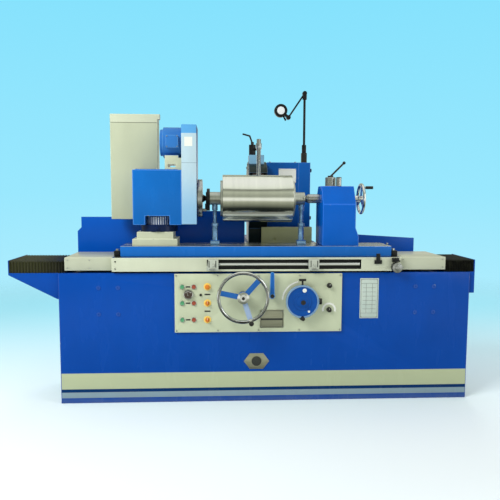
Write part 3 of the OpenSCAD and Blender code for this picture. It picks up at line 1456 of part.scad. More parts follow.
// Lamp: a post on the socket, an arm on its elbow and a round head
post_z = case_top + socket_h + slide_gap;
knuckle_r = 13;
knuckle_w = 26;
post_collar_h = 46;
elbow_top = post_z + lamp_post_l + knuckle_r;
elbow_pin_r = 5;
ear_t = 7;
fork_l = 36;
arm_lean = 34;
arm_end_x = lamp_x - lamp_arm_l * sin(arm_lean);
arm_end_z = elbow_top - lamp_arm_l * cos(arm_lean);
module lamp_post() color([0.07, 0.08, 0.09]) difference() {
  union() {
    rod_z(post_z - slide_gap - lamp_pin_l, post_z + cut, lamp_x, lamp_y, lamp_pin_r);
    rod_z(post_z, post_z + post_collar_h, lamp_x, lamp_y, knuckle_r);
    rod_z(post_z, elbow_top, lamp_x, lamp_y, lamp_tube_r);
    rod_y(lamp_y - knuckle_w / 2, lamp_y + knuckle_w / 2, lamp_x, elbow_top, knuckle_r);
    rod_z(elbow_top - fork_l, elbow_top, lamp_x, lamp_y, knuckle_r);
  }
  rod_y(lamp_y - knuckle_w / 2 + ear_t, lamp_y + knuckle_w / 2 - ear_t, lamp_x, elbow_top,
    knuckle_r + slide_gap);
  block(lamp_x - 2 * knuckle_r, lamp_x + loose / 2, lamp_y - knuckle_w / 2 + ear_t,
    lamp_y + knuckle_w / 2 - ear_t, elbow_top - fork_l, elbow_top);
  rod_y(lamp_y - knuckle_w, lamp_y + knuckle_w, lamp_x, elbow_top, elbow_pin_r + run_clear);
}
module lamp_arm() color([0.07, 0.08, 0.09]) union() {
  eye_w = knuckle_w - 2 * ear_t - 2 * slide_gap;
  rod_y(lamp_y - eye_w / 2, lamp_y + eye_w / 2, lamp_x, elbow_top, knuckle_r);
  rod_y(lamp_y - knuckle_w / 2, lamp_y + knuckle_w / 2, lamp_x, elbow_top, elbow_pin_r);
  translate([lamp_x, lamp_y, elbow_top]) rotate([0, 180 + arm_lean, 0])
    cylinder(h = lamp_arm_l, r = lamp_tube_r * arm_share);
  rod_y(lamp_y - eye_w / 2, lamp_y + eye_w / 2, arm_end_x, arm_end_z, knuckle_r);
  rod_y(lamp_y - knuckle_w / 2, lamp_y + knuckle_w / 2, arm_end_x, arm_end_z, elbow_pin_r);
}
arm_share = 0.7;

// Lamp head: a round shell with its lens, on two ears, and a handle
head_aim = -50;
head_neck = 29;
shell_l = 34;
shell_t = 3;
lens_in = 3;
lens_t = 4;
handle_r = 5;
handle_l = 26;
handle_turn = 22; // handle's angle from the neck
module lamp_head() color([0.07, 0.08, 0.09])
  translate([arm_end_x, lamp_y, arm_end_z]) {
    difference() {
      union() {
        for (side = [-1, 1]) translate([0, side * (knuckle_w / 2 - ear_t / 2), 0]) {
          rod_y(-ear_t / 2, ear_t / 2, 0, 0, knuckle_r);
          rotate([0, head_aim, 0])
            block(-ear_t, ear_t, -ear_t / 2, ear_t / 2, 0, head_neck);
        }
        rotate([0, head_aim, 0]) translate([0, 0, head_neck + lamp_head_r - ear_t]) {
          rod_y(-shell_l / 2, shell_l / 2, 0, 0, lamp_head_r);
          rotate([0, 180 + handle_turn, 0])
            cylinder(h = lamp_head_r + handle_l, r = handle_r);
        }
      }
      rotate([0, head_aim, 0]) translate([0, 0, head_neck + lamp_head_r - ear_t])
        rod_y(-shell_l / 2 - cut, shell_l / 2 - 2 * shell_t, 0, 0,
          lamp_head_r - shell_t);
      rod_y(-knuckle_w, knuckle_w, 0, 0, elbow_pin_r + run_clear);
    }
    rotate([0, head_aim, 0]) translate([0, 0, head_neck + lamp_head_r - ear_t])
      rod_y(-shell_l / 2 + lens_in, -shell_l / 2 + lens_in + lens_t, 0, 0,
        lamp_head_r - shell_t);
  }

bed_casting();
ways();
bellows_brackets();
bellows_left();
bellows_right();
splash_guards();
control_panel();
screws();
plates();
instruments();
table_cylinder();
start_button_top();
start_button_middle();
start_button_bottom();
stop_button_top();
stop_button_middle();
stop_button_bottom();
selector_upper();
selector_lower();
speed_knob();
dwell_knob();
reversing_lever();
table_handwheel();
infeed_wheel();
lower_table();
table_covers();
table_fittings();
dog_left();
dog_right();
taper_knob();
piston_rod();
upper_table();
head_base();
head_body();
drive_cabinet();
head_belt_cover();
head_motor();
motor_pulley();
face_plate();
head_centre();
roll();
steadies();
tailstock_body();
clamp_lever();
quill();
tail_wheel();
wheel_slide();
swivel_base();
spindle_housing();
belt_case();
wheel_motor();
wheel_motor_pulley();
grinding_wheel();
wheel_spindle();
wheel_guard();
coolant_pipe();
valve_lever();
lamp_post();
lamp_arm();
lamp_head();
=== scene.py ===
import json
from math import cos, hypot, pi, radians, sin, tau

import bpy
from mathutils import Matrix, Vector


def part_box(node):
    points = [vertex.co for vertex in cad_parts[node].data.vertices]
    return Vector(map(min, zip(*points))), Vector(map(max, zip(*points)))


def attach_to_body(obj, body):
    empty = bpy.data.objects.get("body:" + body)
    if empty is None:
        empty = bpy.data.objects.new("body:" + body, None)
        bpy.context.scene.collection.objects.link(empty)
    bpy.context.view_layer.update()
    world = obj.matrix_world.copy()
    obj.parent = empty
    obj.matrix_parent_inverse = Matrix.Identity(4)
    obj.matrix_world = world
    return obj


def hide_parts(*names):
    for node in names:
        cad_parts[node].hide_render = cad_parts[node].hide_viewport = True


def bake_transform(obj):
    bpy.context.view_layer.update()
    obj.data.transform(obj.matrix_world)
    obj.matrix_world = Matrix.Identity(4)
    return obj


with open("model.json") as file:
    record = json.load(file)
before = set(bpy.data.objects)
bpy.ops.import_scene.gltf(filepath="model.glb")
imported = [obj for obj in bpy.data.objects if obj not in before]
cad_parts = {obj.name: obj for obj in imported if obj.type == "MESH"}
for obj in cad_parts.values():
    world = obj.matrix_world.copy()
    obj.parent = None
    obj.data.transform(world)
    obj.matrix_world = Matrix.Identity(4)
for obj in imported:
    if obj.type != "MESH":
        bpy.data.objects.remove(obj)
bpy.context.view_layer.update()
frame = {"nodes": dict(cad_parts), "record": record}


# Camera: a lens of medium length at the height of the work axis, in front of the operator's
# side and a little left of the machine's middle, turned slightly right and down.
eye = bpy.data.cameras.new("eye")
eye.lens = 41.94
eye.sensor_width = 36
eye_place = (-0.2585, -3.572, 1.0763)
eye_yaw = -0.056
eye_pitch = pi / 2 - 0.096
eye_roll = 0.004
camera = bpy.data.objects.new("camera", eye)
camera.matrix_world = (
    Matrix.Translation(eye_place)
    @ Matrix.Rotation(eye_yaw, 4, "Z")
    @ Matrix.Rotation(eye_pitch, 4, "X")
    @ Matrix.Rotation(eye_roll, 4, "Z")
)
bpy.context.scene.collection.objects.link(camera)
bpy.context.scene.camera = camera


# Light: a large soft lamp high on the left, a weaker one on the right and one from behind,
# and a pale room light. The eye sees the room as a pale blue that fades to the horizon, and
# polished surfaces mirror it as bright above and dark below.
def colour(*parts):
    """A shader colour from the 0 to 255 values of a paint chart."""
    shares = (part / 255 for part in parts)
    return (*(share / 12.92 if share <= 0.04045 else ((share + 0.055) / 1.055) ** 2.4
              for share in shares), 1)


def lamp(name, place, target, size, power, mirrored):
    """A soft lamp that looks at a target, and that polished surfaces show if it is mirrored."""
    light = bpy.data.lights.new(name, "AREA")
    light.shape = "RECTANGLE"
    light.size, light.size_y = size
    light.energy = power
    holder = bpy.data.objects.new(name, light)
    aim = (Vector(target) - Vector(place)).to_track_quat("-Z", "Y")
    holder.matrix_world = Matrix.Translation(place) @ aim.to_matrix().to_4x4()
    holder.visible_glossy = mirrored
    bpy.context.scene.collection.objects.link(holder)


lamp("key_lamp", (-2.8, -3.0, 3.4), (-0.1, -0.3, 0.7), (2.2, 1.6), 150, False)
lamp("fill_lamp", (3.2, -2.8, 2.2), (0.2, -0.3, 1.05), (1.8, 1.8), 26, True)
lamp("back_lamp", (1.0, 3.2, 3.0), (0, 0.1, 1.05), (2.4, 1.4), 60, False)
room = bpy.data.worlds.new("room")
bpy.context.scene.world = room
room.use_nodes = True
room_nodes = room.node_tree.nodes
room_links = room.node_tree.links
room_light = room_nodes["Background"]
room_light.inputs["Color"].default_value = colour(244, 243, 238)
room_light.inputs["Strength"].default_value = 0.66
room_place = room_nodes.new("ShaderNodeTexCoord")
room_height = room_nodes.new("ShaderNodeSeparateXYZ")
room_links.new(room_place.outputs["Generated"], room_height.inputs["Vector"])
room_ray = room_nodes.new("ShaderNodeLightPath")


def room_seen_by(ray, under, stops):
    """Lets one kind of ray see the room as a fade of (height, colour) stops."""
    fade = room_nodes.new("ShaderNodeValToRGB")
    while len(fade.color_ramp.elements) < len(stops):
        fade.color_ramp.elements.new(0.5)
    for element, (height, *seen) in zip(fade.color_ramp.elements, stops):
        element.position = height
        element.color = colour(*seen)
    lifted = room_nodes.new("ShaderNodeMath")
    lifted.operation = "MULTIPLY_ADD"
    lifted.inputs[1].default_value = 0.5
    lifted.inputs[2].default_value = 0.5
    view = room_nodes.new("ShaderNodeBackground")
    mix = room_nodes.new("ShaderNodeMixShader")
    for from_socket, to_socket in (
        (room_height.outputs["Z"], lifted.inputs[0]),
        (lifted.outputs["Value"], fade.inputs["Fac"]),
        (fade.outputs["Color"], view.inputs["Color"]),
        (room_ray.outputs[ray], mix.inputs[0]),
        (under, mix.inputs[1]),
        (view.outputs["Background"], mix.inputs[2]),
    ):
        room_links.new(from_socket, to_socket)
    return mix.outputs["Shader"]


room_mirrored = room_seen_by("Is Glossy Ray", room_light.outputs["Background"], (
    (0.0, 10, 16, 18), (0.14, 34, 40, 38), (0.22, 120, 124, 108), (0.38, 176, 179, 158),
    (0.43, 255, 255, 246), (0.52, 252, 254, 240), (0.56, 150, 154, 138), (0.76, 196, 200, 180),
    (0.84, 86, 90, 80), (0.87, 244, 248, 232), (1.0, 255, 255, 250)))
room_out = room_seen_by("Is Camera Ray", room_mirrored, (
    (0.22, 252, 254, 255), (0.31, 224, 246, 254), (0.405, 178, 238, 254), (0.5, 154, 232, 254),
    (0.67, 131, 225, 253)))
room_links.new(room_out, room_nodes["World Output"].inputs["Surface"])
bpy.context.scene.view_settings.view_transform = "Standard"


# Floor: plain, pale and matt, a little lighter near the operator, and faded out far away so
# that it meets the room without an edge.
class Value:
    """A socket of a finish that adds, takes away and multiplies as a number does."""

    def __init__(self, finish, socket):
        self.finish = finish
        self.socket = socket

    def math(self, operation, other=0.0):
        return self.finish.node("ShaderNodeMath", {"operation": operation}, {0: self, 1: other})

    def __add__(self, other):
        return self.math("ADD", other)

    def __sub__(self, other):
        return self.math("SUBTRACT", other)

    def __rsub__(self, other):
        return self * -1.0 + other

    def __mul__(self, other):
        return self.math("MULTIPLY", other)

    __radd__ = __add__
    __rmul__ = __mul__


class Finish:
    """One surface finish: a shader, the piece's own place on it, and the nodes that vary it."""

    def __init__(self, name, roughness=0.5, metallic=0.0, coat=0.0):
        self.material = bpy.data.materials.new(name)
        self.material.use_nodes = True
        self.tree = self.material.node_tree
        self.shader = self.tree.nodes["Principled BSDF"]
        for socket, amount in (("Roughness", roughness), ("Metallic", metallic),
                               ("Coat Weight", coat), ("Coat Roughness", 0.12)):
            self.shader.inputs[socket].default_value = amount
        self.place = self.node("ShaderNodeTexCoord", {}, {}, "Object")
        self.x, self.y, self.z = (
            self.node("ShaderNodeSeparateXYZ", {}, {0: self.place}, axis) for axis in "XYZ")

    def node(self, kind, settings, sockets, out=0):
        made = self.tree.nodes.new(kind)
        for key, setting in settings.items():
            setattr(made, key, setting)
        for key, value in sockets.items():
            if isinstance(value, Value):
                self.tree.links.new(value.socket, made.inputs[key])
            else:
                made.inputs[key].default_value = value
        return Value(self, made.outputs[out])

    def grain(self, scale, detail=2, stretch=(1, 1, 1)):
        """Noise between 0 and 1, of scale cells a metre, drawn out where stretch is small."""
        place = self.node("ShaderNodeMapping", {}, {"Vector": self.place, "Scale": stretch})
        return self.node("ShaderNodeTexNoise", {}, {"Vector": place, "Scale": scale, "Detail": detail})

    def step(self, value, low, high):
        """A smooth step from 0 at low to 1 at high."""
        return self.node("ShaderNodeMapRange", {"interpolation_type": "SMOOTHSTEP"},
                         {"Value": value, "From Min": low, "From Max": high})

    def between(self, value, low, high, edge):
        """1 from low to high, with soft edges, and 0 elsewhere."""
        return self.step(value, low - edge, low + edge) * self.step(value, high + edge, high - edge)

    def blend(self, share, first, second):
        """The first colour where share is 0, the second where it is 1."""
        return self.node("ShaderNodeMix", {"data_type": "RGBA"}, {0: share, 6: first, 7: second}, 2)

    def feed(self, socket, value):
        self.tree.links.new(value.socket, self.shader.inputs[socket])

    def paint(self, share, first, second):
        self.feed("Base Color", self.blend(share, first, second))

    def cover(self, share, paint):
        """Paints over the colour that is there, where share is 1."""
        below = Value(self, self.shader.inputs["Base Color"].links[0].from_socket)
        self.paint(share, below, paint)

    def bump(self, height, depth):
        self.feed("Normal", self.node("ShaderNodeBump", {}, {"Height": height, "Distance": depth}))


def mode(name):
    """Switches the piece at hand to EDIT or OBJECT mode."""
    bpy.ops.object.mode_set(mode=name)


def deselect():
    if bpy.context.object and bpy.context.object.mode != "OBJECT":
        mode("OBJECT")
    bpy.ops.object.select_all(action="DESELECT")


def settle(piece, name):
    """Names a piece and works its place into its mesh."""
    bpy.context.view_layer.update()
    piece.data.transform(piece.matrix_world)
    piece.matrix_world = Matrix.Identity(4)
    piece.name = name
    piece.data.name = name
    return piece


floor_radius = 5.5
floor_solid = 2.1
floor_clear = 5.2
deselect()
bpy.ops.mesh.primitive_circle_add(vertices=96, radius=floor_radius, fill_type="NGON")
floor = settle(bpy.context.object, "floor")
floor_finish = Finish("floor_matt", roughness=0.9)
floor_near = floor_finish.step(floor_finish.y, 2.3, -1.4)
floor_finish.paint(floor_near, colour(158, 234, 254), colour(240, 250, 253))
floor_finish.cover(floor_finish.grain(0.6) * 0.05, colour(225, 240, 246))
floor_reach = floor_finish.node("ShaderNodeVectorMath", {"operation": "LENGTH"},
                                {0: floor_finish.place}, "Value")
floor_finish.feed("Alpha", floor_finish.step(floor_reach, floor_clear, floor_solid))
floor_finish.bump(floor_finish.grain(60, 4), 0.0004)
floor.data.materials.append(floor_finish.material)
floor.visible_glossy = False


# Bed: a cast iron box with a rear wing under the wheel slide, filled, sprayed in gloss blue
# and banded in cream near the floor. Its end doors are sheet steel with a turn latch.
def tint(paint, share):
    """A darker or lighter shade of a colour."""
    return (*(part * share for part in paint[:3]), 1)


def enamel(name, paint, roughness=0.3, coat=0.06, flow=1.0):
    """Sprayed machine enamel over filler: slow waves, fine orange peel, faint cloudiness."""
    finish = Finish(name, coat=coat)
    finish.shader.inputs["Specular IOR Level"].default_value = 0.12
    cloud = finish.grain(2.2, 4)
    smear = finish.grain(14, 3, (1, 1, 0.3))
    finish.paint(finish.step(cloud * 0.7 + smear * 0.3, 0.34, 0.68), tint(paint, 0.93), tint(paint, 1.06))
    finish.feed("Roughness", smear * 0.14 + (roughness - 0.07))
    finish.bump(finish.grain(7) * (2.2 * flow) + finish.grain(520) * 0.16 * flow, 0.0009)
    return finish


def worn_and_highlit(name, paint):
    """The same enamel along an edge, rubbed and painted lighter as a highlight, and chipped through to the
    filler.
    """
    finish = Finish(name, coat=0.2)
    rub_and_sheen = finish.grain(90, 4)
    chip = finish.step(finish.grain(38, 5), 0.66, 0.7)
    finish.paint(rub_and_sheen * 0.5, tint(paint, 1.05), tint(paint, 1.35))
    finish.cover(chip * 0.7, colour(150, 158, 150))
    finish.feed("Roughness", rub_and_sheen * 0.3 + 0.2)
    finish.bump(rub_and_sheen, 0.0003)
    return finish


def surface(name, dark, light, cloud, relief, depth, roughness=0.5, metallic=0.0, matt=0.0,
            patches=None, patch_share=0.0):
    """A finish clouded between two colours and dulled by matt of its cloud.

    The cloud, the relief and the patches are grains. Without a relief the cloud stands out.
    """
    finish = Finish(name, roughness, metallic)
    cloud = finish.grain(*cloud)
    share = cloud * (1 - patch_share) + finish.grain(*patches) * patch_share if patches else cloud
    finish.paint(share, colour(*dark), colour(*light))
    if matt:
        finish.feed("Roughness", cloud * matt + roughness)
    finish.bump(finish.grain(*relief) if relief else cloud, depth)
    return finish


def pick(*pieces):
    """Selects some pieces and nothing else, and makes the first one active."""
    deselect()
    for piece in pieces:
        piece.select_set(True)
    bpy.context.view_layer.objects.active = pieces[0]


def select_faces(piece, wanted):
    """Selects in edit mode the faces for which wanted(centre, normal) holds."""
    mode("EDIT")
    bpy.ops.mesh.select_mode(type="FACE")
    bpy.ops.mesh.select_all(action="DESELECT")
    mode("OBJECT")
    for face in piece.data.polygons:
        face.select = wanted(face.center, face.normal)
    mode("EDIT")


def recess(piece, wanted, margin, depth):
    """Sinks the middle of chosen faces by a depth, and leaves a margin round them."""
    select_faces(piece, wanted)
    bpy.ops.mesh.inset(thickness=margin, use_even_offset=True)
    bpy.ops.mesh.inset(thickness=depth, depth=-depth, use_even_offset=True)
    mode("OBJECT")


def smooth(degrees):
    """Shades the piece at hand smooth, but not across edges sharper than an angle."""
    bpy.ops.object.shade_smooth_by_angle(angle=radians(degrees))


def round_edges(piece, width, segments=2, edge_slot=0):
    """Breaks the sharp edges of a piece as a file or a casting's fillet does."""
    bevel = piece.modifiers.new("edges", "BEVEL")
    bevel.width = width
    bevel.segments = segments
    bevel.limit_method = "ANGLE"
    bevel.angle_limit = radians(28)
    bevel.use_clamp_overlap = False
    bevel.material = edge_slot
    pick(piece)
    bpy.ops.object.modifier_apply(modifier=bevel.name)
    smooth(32)


def attach(piece, name, finish, body, edge_width=0.0, segments=2, edge_finish=None):
    """Finishes a piece, breaks its edges and lets it ride on its body."""
    settle(piece, name)
    piece.data.materials.clear()
    piece.data.materials.append(finish.material)
    if edge_finish:
        piece.data.materials.append(edge_finish.material)
    if edge_width:
        round_edges(piece, edge_width, segments, 1 if edge_finish else 0)
    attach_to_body(piece, body)
    return piece


def twin(piece, name):
    """A copy of a piece with a mesh of its own."""
    made = bpy.data.objects.new(name, piece.data.copy())
    bpy.context.scene.collection.objects.link(made)
    return made


def joined_faces(node):
    """A copy of a CAD node's mesh, with its loose triangles merged into whole faces."""
    piece = twin(frame["nodes"][node], node + "_dressed")
    piece.data.materials.clear()
    pick(piece)
    mode("EDIT")
    bpy.ops.mesh.select_all(action="SELECT")
    bpy.ops.mesh.remove_doubles(threshold=0.00001)
    bpy.ops.mesh.dissolve_limited(angle_limit=radians(0.6))
    mode("OBJECT")
    return piece


def dressed(node, finish, edge_width, edge_finish=None, segments=2, piece=None):
    """A CAD node's own shape with broken edges and its finish, in the node's place."""
    record = frame["record"]
    body = next(body for body, nodes in record["behaviour"]["bodies"].items() if node in nodes)
    piece = attach(piece or joined_faces(node), node + "_dressed", finish, body,
                   edge_width, segments, edge_finish)
    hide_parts(node)
    return piece


def plate(one, other):
    """A block between two corners, to be shaped further."""
    deselect()
    low = Vector(map(min, one, other))
    high = Vector(map(max, one, other))
    bpy.ops.mesh.primitive_cube_add(size=1, location=(low + high) / 2, scale=high - low)
    return settle(bpy.context.object, "plate")


def face_out():
    """Turns the faces of the piece at hand outwards."""
    mode("EDIT")
    bpy.ops.mesh.select_all(action="SELECT")
    bpy.ops.mesh.normals_make_consistent(inside=False)
    mode("OBJECT")


def turned(rings, sides=32):
    """A piece turned about its own Z axis, through rings of (height, radius)."""
    deselect()
    bpy.ops.mesh.primitive_circle_add(vertices=sides, radius=rings[0][1], fill_type="NGON",
                                      location=(0, 0, rings[0][0]))
    mode("EDIT")
    for (height, radius), (next_height, next_radius) in zip(rings, rings[1:]):
        bpy.ops.mesh.extrude_region_move(
            TRANSFORM_OT_translate={"value": (0, 0, next_height - height)})
        share = next_radius / radius
        bpy.ops.transform.resize(value=(share, share, 1), center_override=(0, 0, next_height))
    face_out()
    piece = settle(bpy.context.object, "turned")
    smooth(32)
    return piece


up = (0, 0, 1)
front = (0, -1, 0)


def stand(piece, place, axis=front):
    """Turns a piece that was made along Z to point along another axis, and puts it in place."""
    turn = Vector(up).rotation_difference(Vector(axis)).to_matrix().to_4x4()
    piece.data.transform(Matrix.Translation(place) @ turn)
    return piece


def together(pieces):
    """Joins pieces into one."""
    pick(*pieces)
    if len(pieces) > 1:
        bpy.ops.object.join()
    return pieces[0]


def copies(piece, shifts):
    """One mesh of copies of a piece, each moved by its own matrix or vector."""
    made = []
    for shift in shifts:
        made.append(twin(piece, piece.name))
        made[-1].data.transform(shift if isinstance(shift, Matrix) else Matrix.Translation(shift))
    bpy.data.objects.remove(piece)
    return together(made)


blue = colour(1, 67, 155)
bed_finish = enamel("bed_enamel", blue, 0.26)
for band_low, band_high, band_paint in ((0.057, 0.074, colour(6, 48, 98)),
                                        (0.028, 0.057, colour(134, 156, 166)),
                                        (0.074, 0.157, colour(178, 186, 150))):
    bed_finish.cover(bed_finish.between(bed_finish.z, band_low, band_high, 0.0006), band_paint)
grime = bed_finish.grain(26, 5, (0.4, 0.4, 1))
bed_finish.cover(bed_finish.step(bed_finish.z + grime * 0.06, 0.1, 0.0) * 0.35, colour(118, 128, 122))
bed_edge = worn_and_highlit("bed_edge_enamel", tint(blue, 0.92))
bed_end, bed_back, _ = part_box("bed_casting")[1]
bed = joined_faces("bed_casting")
recess(bed, lambda at, out: out.y > 0.99 and at.y > bed_back - 0.001, 0.055, 0.004)
recess(bed, lambda at, out: abs(out.x) > 0.99 and at.y > 0.2 and at.z < 0.5 and abs(at.x) < 0.7,
       0.07, 0.004)
dressed("bed_casting", bed_finish, 0.0035, bed_edge, 3, bed)

door_finish = enamel("door_enamel", tint(blue, 0.97), 0.28, flow=0.6)
latch_finish = surface("latch_zinc", (150, 152, 150), (196, 198, 196), (120, 4), (900,), 0.0002, 0.34, 1)
for side, name in ((-1, "left"), (1, "right")):
    door_face = side * (bed_end + 0.004)
    door = plate((side * bed_end, -0.57, 0.19), (door_face, -0.19, 0.52))
    recess(door, lambda at, out: out.x * side > 0.99, 0.022, 0.0015)
    attach(door, f"bed_door_{name}", door_finish, "bed", 0.0012)
    latch = turned([(0, 0.014), (0.003, 0.014), (0.0045, 0.012), (0.0045, 0.009), (0.012, 0.008),
                    (0.0135, 0.0065)], 28)
    stand(latch, (door_face, -0.225, 0.37), (side, 0, 0))
    wing = plate((door_face + side * 0.006, -0.24, 0.366), (door_face + side * 0.0155, -0.21, 0.374))
    attach(together([latch, wing]), f"bed_door_latch_{name}", latch_finish, "bed", 0.0006)

rear_cover = plate((-0.17, bed_back - 0.0045, 0.27), (0.41, bed_back - 0.0005, 0.56))
recess(rear_cover, lambda at, out: out.y > 0.99, 0.02, 0.001)
attach(rear_cover, "bed_rear_cover", door_finish, "bed", 0.001)
# Painted shade: dark strips stand for the slots in the rear cover.
slot_painted_shade = surface("slot_painted_shade", (8, 12, 20), (22, 30, 44), (60,), (600,), 0.0002, 0.7)
cover_slot = plate((-0.055, bed_back - 0.0022, -0.003), (0.055, bed_back - 0.0008, 0.003))
attach(copies(cover_slot, [(x, 0, 0.36 + 0.02 * row) for x in (0.02, 0.22) for row in range(6)]),
       "bed_rear_slots", slot_painted_shade, "bed")


# Ways: the ground vee and flat of the table and the two cross ways of the wheelhead, planed
# and scraped, with a film of oil. Between them lie the table's cylinder and its rod.
way_finish = Finish("scraped_iron", metallic=1.0)
way_streak = way_finish.grain(160, 3, (0.04, 1, 1))
way_flake = way_finish.grain(70, 1)
way_finish.paint(way_streak * 0.6 + way_flake * 0.4, colour(112, 114, 112), colour(178, 180, 176))
way_finish.feed("Roughness", way_streak * 0.2 + 0.18)
way_finish.bump(way_streak + way_flake * 0.5, 0.0002)
dressed("ways", way_finish, 0.0008)
cylinder_finish = surface("turned_steel", (128, 130, 130), (190, 192, 190), (600, 3, (1, 0.02, 0.02)),
                          None, 0.0001, 0.18, 1, 0.2)
dressed("table_cylinder", cylinder_finish, 0.001)
dressed("piston_rod", cylinder_finish, 0.0008)


# Bellows brackets: folded sheet bolted to the bed's ends, a long one with two gussets at the
# left and a short one at the right, in the bed's blue.
dressed("bellows_brackets", enamel("bracket_enamel", tint(blue, 1.05), 0.3, flow=0.5), 0.0012,
        worn_and_highlit("bracket_edge", tint(blue, 0.8)))


# Bellows: pleats of coated cloth on stiff frames, which cover the ways beyond the table's
# ends. One end is held by the bracket and the other by the table's cover.
fold_n = 18
fold_deep = 0.009
frame_t = 0.0022
frame_bar = fold_deep + 0.003
cloth_finish = Finish("coated_cloth")
cloth_rub = cloth_finish.step(cloth_finish.grain(35, 4), 0.45, 0.75)
# Painted light: the cloth is lighter and olive towards the left end, where light falls on the left bellows.
cloth_painted_light = cloth_finish.step(cloth_finish.x, -0.98, -1.2)
cloth_finish.paint(cloth_painted_light, colour(17, 19, 14), colour(56, 58, 32))
cloth_finish.cover(cloth_rub * 0.4, colour(62, 64, 44))
cloth_finish.feed("Roughness", cloth_rub * 0.2 + 0.5)
cloth_finish.bump(cloth_finish.grain(1500, 1, (1, 0.2, 0.2)) + cloth_finish.grain(1500, 1, (0.2, 1, 1)),
                  0.00035)
frame_finish = surface("bellows_frame", (38, 40, 42), (72, 74, 74), (80, 4), (700,), 0.0002, 0.45, 0.6)


def thicken(piece, thickness, offset):
    """Gives a sheet its thickness, all inwards at an offset of -1 and half to each side at 0."""
    wall = piece.modifiers.new("wall", "SOLIDIFY")
    wall.thickness = thickness
    wall.offset = offset
    bpy.ops.object.modifier_apply(modifier=wall.name)


def pleated(node, fixed_end):
    """A pleated hood, open below for the ways. Its low (0) or its high end (1) is fixed."""
    low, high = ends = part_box(node)
    fixed_x = ends[fixed_end].x
    moving_x = ends[1 - fixed_end].x
    side_h = high.z - low.z
    top_w = high.y - low.y
    length = 2 * side_h + top_w
    deselect()
    bpy.ops.mesh.primitive_grid_add(x_subdivisions=4 * fold_n, y_subdivisions=34, size=1)
    hood = bpy.context.object
    for vertex in hood.data.vertices:
        along = vertex.co.x + 0.5
        step = (vertex.co.y + 0.5) * length
        phase = abs((along * fold_n) % 1 - 0.5) * 2
        sink = fold_deep * (1 - phase) ** 0.8
        if step < side_h:
            place = (low.y + sink, low.z + step - sink * step / side_h)
        elif step < side_h + top_w:
            share = (step - side_h) / top_w
            place = (low.y + sink + share * (top_w - 2 * sink), high.z - sink)
        else:
            rest = length - step
            place = (high.y - sink, low.z + rest - sink * rest / side_h)
        vertex.co = (fixed_x + along * (moving_x - fixed_x), *place)
    face_out()
    thicken(hood, 0.0012, -1)
    attach(hood, node + "_cloth", cloth_finish, "bed")
    smooth(24)
    hood.parent = None
    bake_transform(hood)
    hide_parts(node)
    for end_x, body, name in ((fixed_x, "bed", "fixed"), (moving_x, "lower_table", "moving")):
        inner_x = end_x + (frame_t if end_x < (fixed_x + moving_x) / 2 else -frame_t)
        bars = [plate((end_x, low.y, low.z), (inner_x, low.y + frame_bar, high.z - frame_bar)),
                plate((end_x, high.y - frame_bar, low.z), (inner_x, high.y, high.z - frame_bar)),
                plate((end_x, low.y, high.z - frame_bar), (inner_x, high.y, high.z))]
        attach(together(bars), f"{node}_{name}_frame", frame_finish, body, 0.0005)


pleated("bellows_left", 0)
pleated("bellows_right", 1)


# Splash guards: two folded sheets of steel behind the table, in the bed's blue, screwed down
# to the bed's top through their feet.
guard_finish = enamel("guard_enamel", colour(4, 82, 180), 0.34, flow=0.6)
dressed("splash_guards", guard_finish, 0.0009, worn_and_highlit("guard_edge", colour(58, 118, 178)))
steel_finish = surface("zinc_steel", (140, 144, 146), (204, 208, 208), (110, 4), (1300,), 0.0001,
                       0.18, 1, 0.24)


def hexagon_bolt(radius, height):
    """A hexagon bolt's head on its washer, with the turned chamfer on top, made along Z."""
    washer = turned([(0, radius * 1.25), (height * 0.2, radius * 1.25)], 32)
    head = turned([(height * 0.2, radius), (height * 0.86, radius), (height, radius * 0.84)], 6)
    return together([washer, head])


def row_of(screw, name, places, body, axis=front, finish=steel_finish):
    """Copies one screw to each place, all pointing along one axis."""
    stand(screw, (0, 0, 0), axis)
    attach(copies(screw, places), name, finish, body)


_, guard_y, guard_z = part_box("splash_guards")[0]
foot_xs = (-0.98, -0.78, -0.58, 0.42, 0.62, 0.84)
foot_top = guard_z + 0.003
for number, x in enumerate(foot_xs, 1):
    foot = plate((x - 0.016, guard_y - 0.018, guard_z + 0.0003), (x + 0.016, guard_y, foot_top))
    attach(foot, f"guard_foot_{number}", guard_finish, "bed", 0.0008)
row_of(hexagon_bolt(0.0045, 0.004), "guard_foot_bolts",
       [(x, guard_y - 0.011, foot_top) for x in foot_xs], "bed", up)
row_of(hexagon_bolt(0.005, 0.003), "guard_seam_bolts",
       [(x, guard_y, 0.785) for x in (0.46, 0.748)], "bed")


# Control panel: a folded plate on the bed's front, sprayed grey-cream, held by screws, with
# engraved label strips and a silk printed scale round the feed dial and the lower knob.
def paint_faces(piece, finish, wanted):
    """Gives another finish to the faces for which wanted(centre, normal) holds."""
    piece.data.materials.append(finish.material)
    index = len(piece.data.materials) - 1
    for face in piece.data.polygons:
        if wanted(face.center, face.normal):
            face.material_index = index


panel_grey = colour(188, 196, 166)
dressed("control_panel", enamel("panel_enamel", panel_grey, 0.36, 0.2, 0.4), 0.0014,
        worn_and_highlit("panel_edge", tint(panel_grey, 1.1)), 3)
panel_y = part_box("control_panel")[0].y
paint_faces(dressed("screws", steel_finish, 0.0006), bed_edge, lambda at, out: abs(at.x) > 0.7)
label_finish = surface("engraved_label", (20, 20, 22), (44, 44, 46), (240, 3), (900,), 0.0001, 0.4)
print_finish = surface("printed_white", (238, 240, 232), (210, 214, 204), (300, 4), (1500,), 0.00005)
button_zs = (0.605, 0.521, 0.435)
selector_x = -0.310
labels = [plate((x - half, panel_y - 0.001, z - 0.0035), (x + half, panel_y, z + 0.0035))
          for x, half, zs in ((-0.4085, 0.0115, button_zs), (selector_x, 0.015, (0.5655, 0.479)))
          for z in zs]
attach(together(labels), "label_strips", label_finish, "bed", 0.0003)


